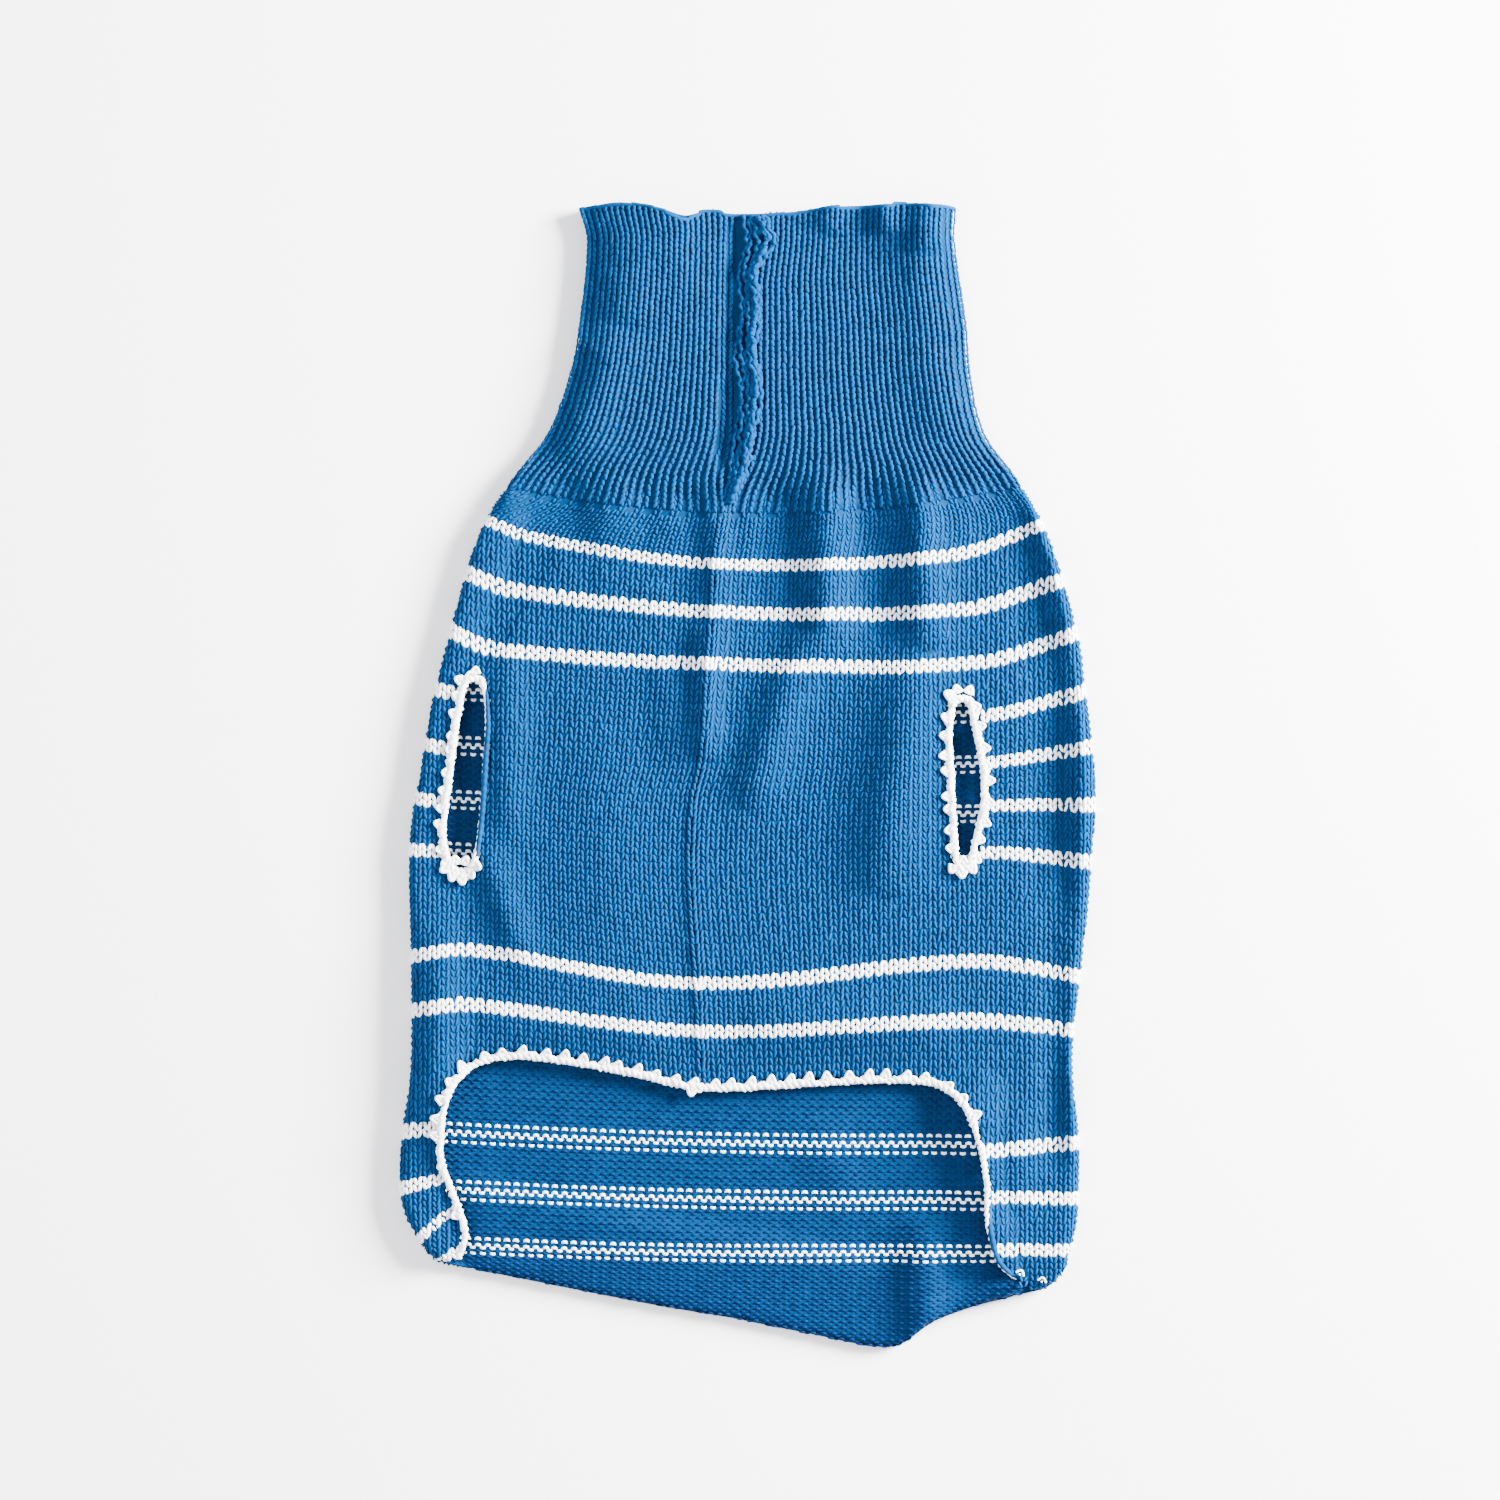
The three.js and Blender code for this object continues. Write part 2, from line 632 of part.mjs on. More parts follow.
const legPaths = { left: legPath(LEG_HOLES.left), right: legPath(LEG_HOLES.right) };
const archCut = movedOut(picotSpots(archPath, false), CUT_OUT);
const BELOW = -200;
const archPrism = prism([
  ...archCut, new THREE.Vector2(archCut[archCut.length - 1].x, BELOW),
  new THREE.Vector2(archCut[0].x, BELOW)]);

// Shares of each edging where the cloth's rolled edge leaves only a thin line of it
const thinBetween = (from, to) => (share) => (share > from && share < to ? 0 : 1);
const LEFT_LEG_THIN = thinBetween(0.02, 0.44);
const HEM_THIN = thinBetween(0.835, 0.95);
const RIGHT_LEG_THIN = thinBetween(1, 1);

const sweater = new THREE.Group();
sweater.add(collar(), backSheet(), backEdging());
for (const [side, sign] of [['left', -1], ['right', 1]]) {
  const uncut = bellySheet(`belly_${side}`, sign);
  const hole = prism(movedOut(picotSpots(legPaths[side], true), CUT_OUT));
  sweater.add(fromManifold(toManifold(uncut).subtract(archPrism).subtract(hole), uncut));
  const shows = side === 'left' ? LEFT_LEG_THIN : RIGHT_LEG_THIN;
  sweater.add(edging(`leg_edging_${side}`, legPaths[side], true, bellyTop, bellyUnder, shows));
}
sweater.add(edging('hem_edging', archPath, false, bellyTop, bellyUnder, HEM_THIN));
const seamStart = -100.3 + CUT_OUT + PICOT_LENGTH + 2 * GAP;
sweater.add(seamRidge('belly_seam', seamStart, RIB_END - GAP, 34, SEAM_WIDTH, SEAM_RISE, 0, bellyTop));
sweater.add(seamRidge('collar_seam', RIB_END + 2 * GAP, rimAt(seam(180)) - GAP, 44, COLLAR_SEAM_WIDTH,
  COLLAR_SEAM_RISE, COLLAR_SEAM_TWIST, collarTop));

export default sweater;
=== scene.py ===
"""Knitted dog sweater in blue and white cotton yarn, laid flat with its belly side up."""
import math

import bpy
import numpy as np
from bpy.props import FloatProperty, FloatVectorProperty, PointerProperty
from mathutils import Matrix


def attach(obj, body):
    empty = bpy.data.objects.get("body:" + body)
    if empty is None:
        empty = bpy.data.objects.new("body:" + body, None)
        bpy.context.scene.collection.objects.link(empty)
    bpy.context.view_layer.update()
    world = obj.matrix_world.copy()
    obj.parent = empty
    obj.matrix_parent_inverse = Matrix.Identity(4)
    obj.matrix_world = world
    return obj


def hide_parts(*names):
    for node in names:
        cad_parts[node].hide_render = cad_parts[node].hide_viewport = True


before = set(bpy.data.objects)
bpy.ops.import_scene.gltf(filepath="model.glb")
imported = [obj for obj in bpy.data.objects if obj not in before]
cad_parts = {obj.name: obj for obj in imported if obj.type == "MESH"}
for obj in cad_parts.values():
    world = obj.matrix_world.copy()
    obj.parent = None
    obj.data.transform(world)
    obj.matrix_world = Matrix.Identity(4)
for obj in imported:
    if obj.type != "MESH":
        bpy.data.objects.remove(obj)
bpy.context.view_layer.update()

bl_info = {
    "name": "Knitted dog sweater",
    "version": (1, 0, 0),
    "blender": (4, 5, 0),
    "location": "3D View > Sidebar > Sweater",
    "description": "Knits, sews and edges a striped dog sweater that lies flat",
    "category": "Add Mesh",
}

# Sizes of the cloth in millimetres, the same as in the part's source
WALL = 2.0
GAP = 0.3
FOLD_RADIUS = 4.0
SAG_REACH = 20
BELLY_SAG = 2.2
COLLAR_SAG = 1.2
RIB_END = 83.5
RIB_END_RISE = 9.3
RIB_MIDDLE = 5
RIB_SPREAD = 86
CORNER_Y = -150.7
CORNER_X = 104.6
STRIP_SHARE = 0.86
RIB_HEIGHT = 0.9
HEM_RADIUS = 2.2
TURN_DEPTH = 13
EDGING_ROOM = 6.5
TURN_SLOPE = 10
PICOT_PITCH = 6.2
BAND_HALF = 1.3
CUT_OUT = 1.5
BEND = FOLD_RADIUS * math.pi / 2
CREASE_DEPTH = 1.9           # how strongly the creases below show

# Side folds: height, x of the left one, x of the right one
OUTLINE = [
    (-150.7, -104.6, 104.6), (-141.1, -109.8, 106.2), (-131.5, -111.7, 106.6), (-117.1, -111.0, 106.6),
    (-102.7, -109.1, 105.3), (-88.3, -107.8, 104.6), (-49.9, -108.2, 108.8), (-25.9, -108.8, 111.0),
    (-11.5, -107.2, 112.0), (2.9, -104.6, 111.7), (22.1, -101.4, 109.4), (41.3, -96.6, 106.9),
    (60.5, -91.5, 102.1), (74.9, -87.0, 97.3), (84.5, -82.2, 92.8), (94.1, -75.5, 86.7),
    (108.5, -63.7, 75.8), (127.7, -56.3, 71.0), (142.1, -53.4, 69.8), (170.9, -50.6, 65.9),
    (180.5, -53.1, 66.2),
]
# Bottom edge of the back: x and height
FLAP = [
    (-104.6, -150.7), (-100.8, -155.0), (-93.0, -157.5), (-78.4, -160.3), (-29.4, -170.0),
    (-1.6, -174.7), (22.7, -179.5), (40.0, -183.0), (49.0, -182.8), (59.5, -175.5), (74.2, -170.0),
    (90.6, -166.0), (97.3, -164.0), (101.8, -159.0), (104.6, -150.7),
]
# Rim of the collar: x and height
RIM = [
    (-53.1, 181.0), (-40.6, 182.6), (-27.8, 180.5), (-19.8, 178.2), (-13.4, 179.8), (-2.2, 178.9),
    (17.0, 179.8), (33.0, 181.4), (52.2, 181.8), (66.2, 181.4),
]
# Seam from the belly hem up to the rim: height and x
SEAM = [
    (-100.0, -14.4), (-67.5, -15.7), (-30.7, -18.0), (-8.3, -17.0), (4.5, -14.2), (36.5, -11.8),
    (68.5, -10.0), (94.1, -8.0), (100.5, -4.0), (110.1, -0.6), (126.1, 1.0), (142.1, -1.4),
    (151.7, 0.3), (164.5, -0.2), (173.4, 4.6), (182.0, 5.4),
]
# Joined edges of the collar's seam, folded to the right: height, x of their left and right edge
RIBBON = [
    (86.0, -9.4, -5.2), (94.0, -6.4, -1.2), (100.5, -5.6, 1.2), (113.3, -3.4, 3.2), (126.0, -3.4, 5.1),
    (135.7, -3.9, 3.0), (151.7, -2.4, 4.7), (161.0, -2.5, 3.6), (170.2, -1.2, 8.6), (178.5, -2.2, 6.6),
]
# Middle of the leg holes' edging: height, x of the left side, x of the right side
LEFT_LEG = [
    (30.0, -89.5, -85.5), (18.0, -92.8, -83.5), (6.0, -94.4, -84.2), (-8.0, -96.3, -85.1),
    (-21.0, -97.3, -86.4), (-30.5, -93.8, -88.4),
]
RIGHT_LEG = [
    (23.5, 66.6, 70.8), (14.0, 64.5, 73.3), (3.0, 64.9, 75.6), (-8.3, 65.5, 76.0),
    (-19.0, 66.2, 73.8), (-29.5, 67.7, 70.7),
]
# Middle of the edging round the arched belly hem: x and height
ARCH = [
    (-92.6, -155.0), (-90.4, -147.0), (-93.6, -136.0), (-97.6, -125.1), (-97.9, -113.9),
    (-95.7, -102.7), (-88.6, -93.6), (-76.0, -90.3), (-53.4, -92.5), (-34.2, -96.3), (-15.0, -100.3),
    (26.6, -98.6), (49.0, -97.9), (61.6, -99.6), (69.6, -106.0), (73.9, -117.1), (76.4, -130.0),
    (77.0, -146.0), (80.2, -156.5), (88.0, -163.4),
]
# Soft creases from one end to the other: x, y, x, y, width, rise
CREASES = [
    # The collar falls away to its folds and is rucked at the rim
    (-56, 188, -55, 138, 9, -2.4), (-55, 138, -71, 98, 9, -2.4), (-29, 188, -37, 142, 11, 2.3),
    (-38, 142, -56, 98, 9, 1.9), (71, 188, 73, 140, 9, -2.4), (73, 140, 84, 98, 9, -2.2),
    (55, 186, 56, 140, 9, 1.5), (56, 140, 64, 106, 9, 1.3), (-22, 188, -20, 150, 7, 1.3),
    (-3.2, 178, -4.9, 128, 2.6, -2.0), (-4.9, 128, -8, 99, 2.6, -2.0), (28, 190, 27, 172, 6, 1.8),
    (44, 190, 44, 172, 5, 2.6), (61, 190, 58, 166, 8, 2.6),
    # Folds under the collar
    (9, 98, 9, 38, 7, -1.4), (25, 98, 26, 36, 7.5, 3.4), (40, 96, 42, 42, 6, -1.2),
    (55, 98, 58, 38, 8, 3.6), (-10, 98, -10, 40, 5.5, 1.6), (-27, 94, -30, 66, 5, 0.8),
    (-41, 96, -45, 70, 6, 1.4), (-56, 96, -75, 60, 6, -1.8), (-75, 62, -85, 38, 6, -1.6),
    (80, 98, 91, 62, 6, -1.8), (-50, 62, -24, 58, 7, 0.7),
    # Folds between the leg holes
    (91, 64, 98, 18, 6, -2.0), (98, 22, 99, -52, 6, -2.2), (20, 46, 0, -12, 8, 2.9),
    (-27, 40, -22, 2, 6, 1.0), (55, 40, 43, -40, 11.5, 3.8), (-13, 48, -14, 4, 5.5, 3.0),
    (-15, 0, -16, -92, 4.5, 0.4),
    (-77, 44, -76, -24, 7, 1.9), (-84, -22, -71, -60, 6, 2.0), (-76, -62, -26, -72, 8, 0.8),
    # Folds over the hem and in the strips
    (-86, -98, -20, -106, 10, -1.7), (-20, -106, 66, -106, 10, -1.8), (98, -52, 99, -130, 5.5, -1.8),
    (85, -104, 88, -160, 7.5, 1.5), (-97, -46, -98, -130, 7, 2.2), (-50, 24, -40, -64, 14, 1.0),
    (107, 28, 107, -34, 5.5, 1.7), (95, 90, 105, 38, 6, 1.4), (-2, -80, 68, -80, 9, 2.0),
    (-86, -78, -24, -83, 8, 1.3), (105, -84, 105, -126, 4, 1.2),
]
BACK_CREASES = [
    (56, -142, 57, -184, 8, 2.4), (73, -94, 77, -162, 10.5, 3.7), (20, -112, 34, -140, 9, 0.6),
    (-60, -118, -40, -150, 14, 0.4), (86, -160, 88, -172, 7, 1.4),
]

# Courses counted from the rim: where each crosses the left fold, the left leg's line,
# the seam, the right leg's line and the right fold
COURSES = [
    (43, -67.2, 104.0, -51.8, 101.1, -4.2, 98.6, 60.8, 102.1, 77.8, 104.3),
    (52, -78.0, 91.5, -60.8, 86.7, -9.0, 82.0, 68.6, 86.8, 89.0, 91.5),
    (61, -84.5, 81.9, -69.8, 76.2, -11.2, 67.5, 65.0, 70.1, 95.0, 80.3),
    (69, -90.9, 65.0, -75.5, 59.2, -11.8, 52.2, 69.1, 52.8, 101.1, 62.1),
    (77, -96.6, 46.7, -80.6, 40.3, -12.5, 35.5, 73.0, 35.8, 106.6, 45.4),
    (85, -100.8, 27.5, -85.4, 24.6, -13.4, 18.6, 74.6, 18.6, 109.4, 26.9),
    (93, -104.3, 9.9, -88.6, 7.0, -14.1, 1.6, 76.2, 3.8, 111.4, 9.0),
    (101, -107.2, -7.4, -90.9, -9.9, -16.3, -15.7, 76.2, -10.2, 112.6, -9.6),
    (109, -109.1, -24.0, -91.8, -25.0, -17.6, -32.6, 74.6, -25.0, 112.0, -28.2),
    (117, -109.1, -41.3, -91.2, -40.3, -17.3, -49.9, 73.0, -41.9, 110.1, -46.7),
    (125, -108.5, -58.2, -89.9, -56.0, -16.0, -66.9, 72.6, -59.8, 108.5, -65.0),
    (133, -108.5, -75.5, -89.9, -73.6, -15.0, -82.2, 72.3, -78.7, 105.6, -81.9),
    (141, -108.8, -94.7, -90.6, -91.5, -14.1, -99.5, 71.4, -98.9, 105.3, -99.5),
    (149, -111.4, -114.2, -91.8, -113.0, -14.1, -117.1, 73.0, -120.3, 106.2, -117.8),
    (157, -112.3, -132.5, -91.8, -129.3, -15.0, -134.7, 76.2, -135.0, 106.9, -135.7),
    (165, -106.9, -150.1, -90.9, -139.0, -15.0, -152.3, 77.8, -152.0, 105.0, -152.3),
    (173, -104.6, -163.0, -90.0, -152.0, -15.0, -168.0, 81.0, -168.0, 104.6, -168.0),
    (187, -104.6, -189.0, -90.0, -180.0, -15.0, -195.0, 81.0, -195.0, 104.6, -194.0),
]
RIB_COURSES = 52
FIRST_STRIPE = 60
STRIPE_STEP = 8
STRIPE_HEIGHT = 2
LAST_STRIPE = 166
BELLY_PLAIN = (84, 110)      # courses between the leg holes without stripes
ALL_PLAIN = (116, 117, 140, 141)
SEAM_WALE = 27.5             # the seam runs between the wales 27 and 28
SPLIT_WALE = 28              # the collar's seam runs between two of its ribs
WALE = 3.08                  # width of a wale in the body
SEAM_REST = -14.5            # x of the seam if it didn't wander
WANDER_REACH = 80


def read(table, source, target, at):
    """Smooth curve through a table's rows: column `target` where column `source` is `at`."""
    rows = np.array(table, float)
    knots = rows[:, source]
    values = rows[:, target]
    last = len(knots) - 1
    x = np.clip(at, knots[0], knots[-1])
    i = np.clip(np.searchsorted(knots, x, side="right") - 1, 0, last - 1)
    before = np.maximum(i - 1, 0)
    after = np.minimum(i + 2, last)
    span = knots[i + 1] - knots[i]
    start = span * (values[i + 1] - values[before]) / (knots[i + 1] - knots[before])
    end = span * (values[after] - values[i]) / (knots[after] - knots[i])
    t = (x - knots[i]) / span
    square = t * t
    cube = square * t
    return (values[i] * (2 * cube - 3 * square + 1) + start * (cube - 2 * square + t)
            + values[i + 1] * (3 * square - 2 * cube) + end * (cube - square))


def mix(a, b, t):
    return a + (b - a) * t


def smooth(a, b, v):
    t = np.clip((v - a) / (b - a), 0, 1)
    return t * t * (3 - 2 * t)


def left(y):
    return read(OUTLINE, 0, 1, np.maximum(y, CORNER_Y))


def right(y):
    return read(OUTLINE, 0, 2, np.maximum(y, CORNER_Y))


def seam(y):
    return read(SEAM, 0, 1, y)


def flap(x):
    return read(FLAP, 0, 1, x)


def rib_end(x):
    return RIB_END + RIB_END_RISE * ((x - RIB_MIDDLE) / RIB_SPREAD) ** 2


def creased(table, x, y):
    """Height that a table of creases adds at a point."""
    rise = 0
    for x0, y0, x1, y1, width, height in table:
        dx = x1 - x0
        dy = y1 - y0
        t = np.clip(((x - x0) * dx + (y - y0) * dy) / (dx * dx + dy * dy), 0, 1)
        away = np.hypot(x - x0 - t * dx, y - y0 - t * dy) / width
        # A crease runs out towards its ends
        rise = rise + height * np.exp(-away * away) * (1 - 0.8 * (2 * t - 1) ** 4)
    return rise * CREASE_DEPTH


def strip_share(x):
    return smooth(STRIP_SHARE - 0.06, STRIP_SHARE + 0.06, np.abs(x) / CORNER_X)


def turned(x, y):
    """1 where the back's hem is turned under, 0 where the back is a single layer."""
    inwards = y - flap(x) - HEM_RADIUS
    flat = TURN_DEPTH + EDGING_ROOM
    return (1 - smooth(flat, flat + TURN_SLOPE, inwards)) * (1 - strip_share(x))


def back_top(x, y):
    lift = creased(BACK_CREASES, x, y) * (1 - strip_share(x))
    return mix(WALL, 2 * HEM_RADIUS, turned(x, y)) + lift


def gathers(x, y):
    """Small upright folds where the ribs pull the body together."""
    below = rib_end(x) - y
    depth = smooth(-12, 1, below) * (1 - smooth(7, 27, below))
    return 0.42 * depth * (np.sin(x / 2.1) + 0.7 * np.sin(x / 3.4 + 1))


def front_top(x, y):
    """Height of the belly side's outer face away from its folds. It lies higher in the collar."""
    inwards = np.minimum(x - left(y), right(y) - x)
    sag = mix(COLLAR_SAG, BELLY_SAG, smooth(-SAG_REACH, SAG_REACH, rib_end(x) - y))
    lying = 2 * FOLD_RADIUS - sag * smooth(FOLD_RADIUS, SAG_REACH, inwards)
    lowest = back_top(x, y) + WALL + 1.3 * GAP
    over = lying + creased(CREASES, x, y) + gathers(x, y) - lowest
    return lowest + (over + np.sqrt(over * over + 0.5)) / 2


def round_fold(s, y):
    """x of a point at distance s across the cloth, and how far up its side fold it stands."""
    from_left = left(y) + FOLD_RADIUS - s
    from_right = s - right(y) + FOLD_RADIUS
    angle = np.clip(np.maximum(from_left, from_right), 0, BEND) / FOLD_RADIUS
    past = FOLD_RADIUS * np.sin(angle)
    x = np.where(from_left > 0, left(y) + FOLD_RADIUS - past, s)
    x = np.where(from_right > 0, right(y) - FOLD_RADIUS + past, x)
    return x, np.cos(angle)


def round_hem(x, q):
    """y of a point at distance q down the cloth, and how far up its bottom fold it stands."""
    radius = mix(HEM_RADIUS, FOLD_RADIUS, strip_share(x))
    start = flap(x) + radius
    angle = np.clip((start - q) / radius, 0, math.pi / 2)
    return np.where(q < start, start - radius * np.sin(angle), q), np.cos(angle)


def laid(s, q):
    """Place in plan of a point of the cloth, and its share of the height over the folds."""
    y = q
    for _ in range(3):
        x, across = round_fold(s, y)
        y, down = round_hem(x, q)
    return x, y, across * down


def belly_face(s, q):
    """Outer face of the belly side."""
    x, y, share = laid(s, q)
    split = FOLD_RADIUS + GAP / 2
    return np.stack([x, y, split + (front_top(x, y) - split) * share], -1)


def back_middle(s, q):
    """Middle of the back's wall. It rises to the side folds and drops round the hem."""
    x, y, share = laid(s, q)
    inner = x - np.sign(x) * (1 - share) * WALL / 2
    strip = strip_share(x)
    top = back_top(x, y) - WALL / 2
    as_fold = mix(FOLD_RADIUS - GAP / 2, top, share)
    as_hem = mix(HEM_RADIUS, top, share)
    side = np.where(np.minimum(x - left(y), right(y) - x) < FOLD_RADIUS, 1, strip)
    return np.stack([inner, y, mix(as_hem, as_fold, side)], -1)


def collar_face(turn, along, offset):
    """Point of the collar, `turn` of the way round it and `along` of the way down from the rim."""
    middle = mix(RIM[0][1], RIB_END, along)
    start = left(middle) + FOLD_RADIUS
    width = right(middle) - FOLD_RADIUS - start
    length = 2 * BEND + width
    front = turn < 0.5
    at = np.where(front, turn, 1 - turn) * 2 * length
    flat = np.clip(at - BEND, 0, width)
    angle = (np.minimum(at, BEND) + np.maximum(at - BEND - width, 0)) / FOLD_RADIUS
    radius = FOLD_RADIUS + offset
    plain = start + flat - radius * np.cos(angle)
    share = np.clip((plain - left(middle)) / (right(middle) - left(middle)), 0, 1)
    x = plain
    for _ in range(4):
        y = mix(read(RIM, 0, 1, x), rib_end(x) + GAP / 2, along)
        x = plain + mix(left(y) - left(middle), right(y) - right(middle), share)
    rise = np.sin(angle)
    top = front_top(x, y) - 2 * FOLD_RADIUS
    near_fold = smooth(0, FOLD_RADIUS, flat + FOLD_RADIUS * rise)
    upper = FOLD_RADIUS + radius * rise + top * rise * near_fold
    return np.stack([x, y, np.where(front, upper, FOLD_RADIUS - radius * rise)], -1)


def course_line(v, x):
    """Height at which course v crosses x on the belly side."""
    xs = np.stack([read(COURSES, 0, 1 + 2 * k, v) for k in range(5)], -1)
    ys = np.stack([read(COURSES, 0, 2 + 2 * k, v) for k in range(5)], -1)
    x = np.clip(x, xs[..., 0], xs[..., -1])
    i = np.clip((x[..., None] >= xs).sum(-1) - 1, 0, 3)

    def pick(values, k):
        return np.take_along_axis(values, np.clip(k, 0, 4)[..., None], -1)[..., 0]

    def slope(a, b):
        a = np.clip(a, 0, 4)
        b = np.clip(b, 0, 4)
        return (pick(ys, b) - pick(ys, a)) / (pick(xs, b) - pick(xs, a))

    span = pick(xs, i + 1) - pick(xs, i)
    t = (x - pick(xs, i)) / span
    start = span * slope(i - 1, i + 1)
    end = span * slope(i, i + 2)
    square = t * t
    cube = square * t
    return (pick(ys, i) * (2 * cube - 3 * square + 1) + start * (cube - 2 * square + t)
            + pick(ys, i + 1) * (3 * square - 2 * cube) + end * (cube - square))


def belly_place(u, v):
    """Distances across and down the cloth of wale u and course v on the belly side."""
    fade = 1 - smooth(0, 1, np.abs(u - SEAM_WALE) * WALE / WANDER_REACH)
    y = read(COURSES, 0, 6, v)
    for _ in range(3):
        in_rib = left(y) + FOLD_RADIUS - BEND + u * (
            2 * BEND + right(y) - left(y) - 2 * FOLD_RADIUS) / 64
        body = SEAM_REST + (seam(y) - SEAM_REST) * fade + (u - SEAM_WALE) * WALE
        s = mix(in_rib, body, smooth(50, 62, v))
        y = course_line(v, s)
    return s, y


def back_place(u, v):
    """Distances across and down the cloth of wale u and course v on the back."""
    left_y = read(COURSES, 0, 2, v)
    right_y = read(COURSES, 0, 10, v)
    share = np.clip((u * WALE) / 110, -1, 1)
    y = mix(left_y, right_y, (share + 1) / 2) - 2.5 * (1 - share * share)
    # Behind the right leg hole the back lies a little lower
    behind = smooth(0.1, 0.5, share) * (1 - smooth(0.8, 1, share))
    y = y - 6.2 * behind * smooth(66, 84, v) * (1 - smooth(84, 112, v))
    pitch = mix(2.72, WALE, smooth(52, 64, v))
    return u * pitch, y


def seam_surface(u, v):
    """Surface of the belly seam: one narrow wale of stitches, raised over the two panels."""
    here, across, out = with_directions(belly_place, belly_face, SEAM_WALE + 0.95 * u, v)
    return here + out * 0.5, across, out


def with_directions(place, face, u, v):
    """Points on a face of the cloth at wale u and course v, the way across there, and the way out."""
    s, q = place(u, v)
    here = face(s, q)
    across = face(s + 0.4, q) - face(s - 0.4, q)
    down = face(s, q - 0.4) - face(s, q + 0.4)
    out = np.cross(down, across)
    return here, unit(across), unit(out)


def unit(vectors):
    return vectors / np.maximum(np.linalg.norm(vectors, axis=-1, keepdims=True), 1e-9)


# Section of a yarn as shares of its half width and half height
ROUND_TOP = [(-1, -0.7), (-0.66, 0.55), (0.66, 0.55), (1, -0.7)]
TENT = [(-1, -0.6), (0, 1), (1, -0.6)]


def strands(centres, across, out, widths, heights, section):
    """Closed tapered strands, each with a tip at both ends and a section at each point between."""
    count, stops = centres.shape[:2]
    size = len(section)
    points = [centres[:, :1]]
    for k in range(1, stops - 1):
        ring = [centres[:, k] + across[:, k] * widths[k] * a + out[:, k] * heights[k] * b
                for a, b in section]
        points.append(np.stack(ring, 1))
    points.append(centres[:, -1:])
    points = np.concatenate(points, 1)
    each = points.shape[1]
    faces = []
    for i in range(size):
        j = (i + 1) % size
        faces.append((0, 1 + i, 1 + j))
        for k in range(stops - 3):
            a = 1 + k * size
            faces.append((a + i, a + size + i, a + size + j))
            faces.append((a + i, a + size + j, a + j))
        a = 1 + (stops - 3) * size
        faces.append((a + i, each - 1, a + j))
    faces = np.array(faces)[None] + np.arange(count)[:, None, None] * each
    return points.reshape(-1, 3), faces.reshape(-1, 3)


# Left leg of a knit stitch: wales across, courses down, millimetres over the cloth's face,
# half width and half height
BODY_LEG = [
    (-0.37, -0.18, -1.0, 0, 0), (-0.34, 0.10, -0.66, 0.46, 0.30), (-0.27, 0.52, -0.46, 0.54, 0.34),
    (-0.17, 0.96, -0.46, 0.50, 0.32), (-0.06, 1.32, -0.9, 0, 0),
]
RIB_LEG = [
    (-0.62, -0.24, -0.7, 0, 0), (-0.60, 0.10, -0.46, 0.56, 0.30), (-0.52, 0.52, -0.36, 0.72, 0.34),
    (-0.43, 0.96, -0.42, 0.60, 0.32), (-0.36, 1.36, -0.7, 0, 0),
]
PLAIN_LEG = [(-0.44, -0.12, -0.9, 0, 0), (-0.27, 0.55, -0.48, 0.74, 0.48), (-0.06, 1.24, -1.0, 0, 0)]


def knit(surface, u, v, leg, section, seed, thick=1.0):
    """V-shaped stitches at wales u and courses v, two legs each."""
    chance = np.random.default_rng(seed)
    points = []
    faces = []
    first = 0
    line = np.array(leg)
    for side in (1, -1):
        shift = chance.normal(0, 0.035, (len(u), 1))
        slip = chance.normal(0, 0.05, (len(u), 1))
        lift = chance.normal(0, 0.06, (len(u), 1, 1))
        swell = thick * (1 + chance.normal(0, 0.03))
        here, across, out = surface(
            u[:, None] + side * line[None, :, 0] + shift, v[:, None] + line[None, :, 1] + slip)
        centres = here + out * (line[None, :, 2, None] + lift)
        made, joined = strands(
            centres, across, out, line[:, 3] * swell, line[:, 4] * swell, section)
        points.append(made)
        faces.append(joined + first)
        first += len(made)
    return np.concatenate(points), np.concatenate(faces)


# Arc of a purl stitch: wales across, courses down, millimetres over the face, half sizes
PURL_ARC = [
    (-0.36, 0.02, -0.85, 0, 0), (-0.25, -0.20, -0.44, 0.40, 0.26), (0, -0.27, -0.36, 0.42, 0.30),
    (0.25, -0.20, -0.44, 0.40, 0.26), (0.36, 0.02, -0.85, 0, 0),
]


def purl(surface, u, v, way, seed, thick):
    """Arcs that a purl stitch shows: its head bends up where way is 1, its foot down where -1."""
    chance = np.random.default_rng(seed)
    line = np.array(PURL_ARC)
    shift = chance.normal(0, 0.03, (len(u), 1))
    here, across, out = surface(
        u[:, None] + line[None, :, 0] + shift, v[:, None] + way * line[None, :, 1])
    down = np.cross(across, out) * way
    lift = chance.normal(0, 0.06, (len(u), 1, 1)) - (0.22 if way < 0 else 0)
    centres = here + out * (line[None, :, 2, None] + lift)
    return strands(centres, down, out, line[:, 3] * thick, line[:, 4] * thick, ROUND_TOP)


def is_white(v, plain):
    """Whether course v is knitted in white; `plain` says which stitches leave out some stripes."""
    on = (v >= FIRST_STRIPE) & (v < LAST_STRIPE) & ((v - FIRST_STRIPE) % STRIPE_STEP < STRIPE_HEIGHT)
    on &= ~np.isin(v, ALL_PLAIN)
    return on & ~(plain & (v >= BELLY_PLAIN[0]) & (v < BELLY_PLAIN[1]))


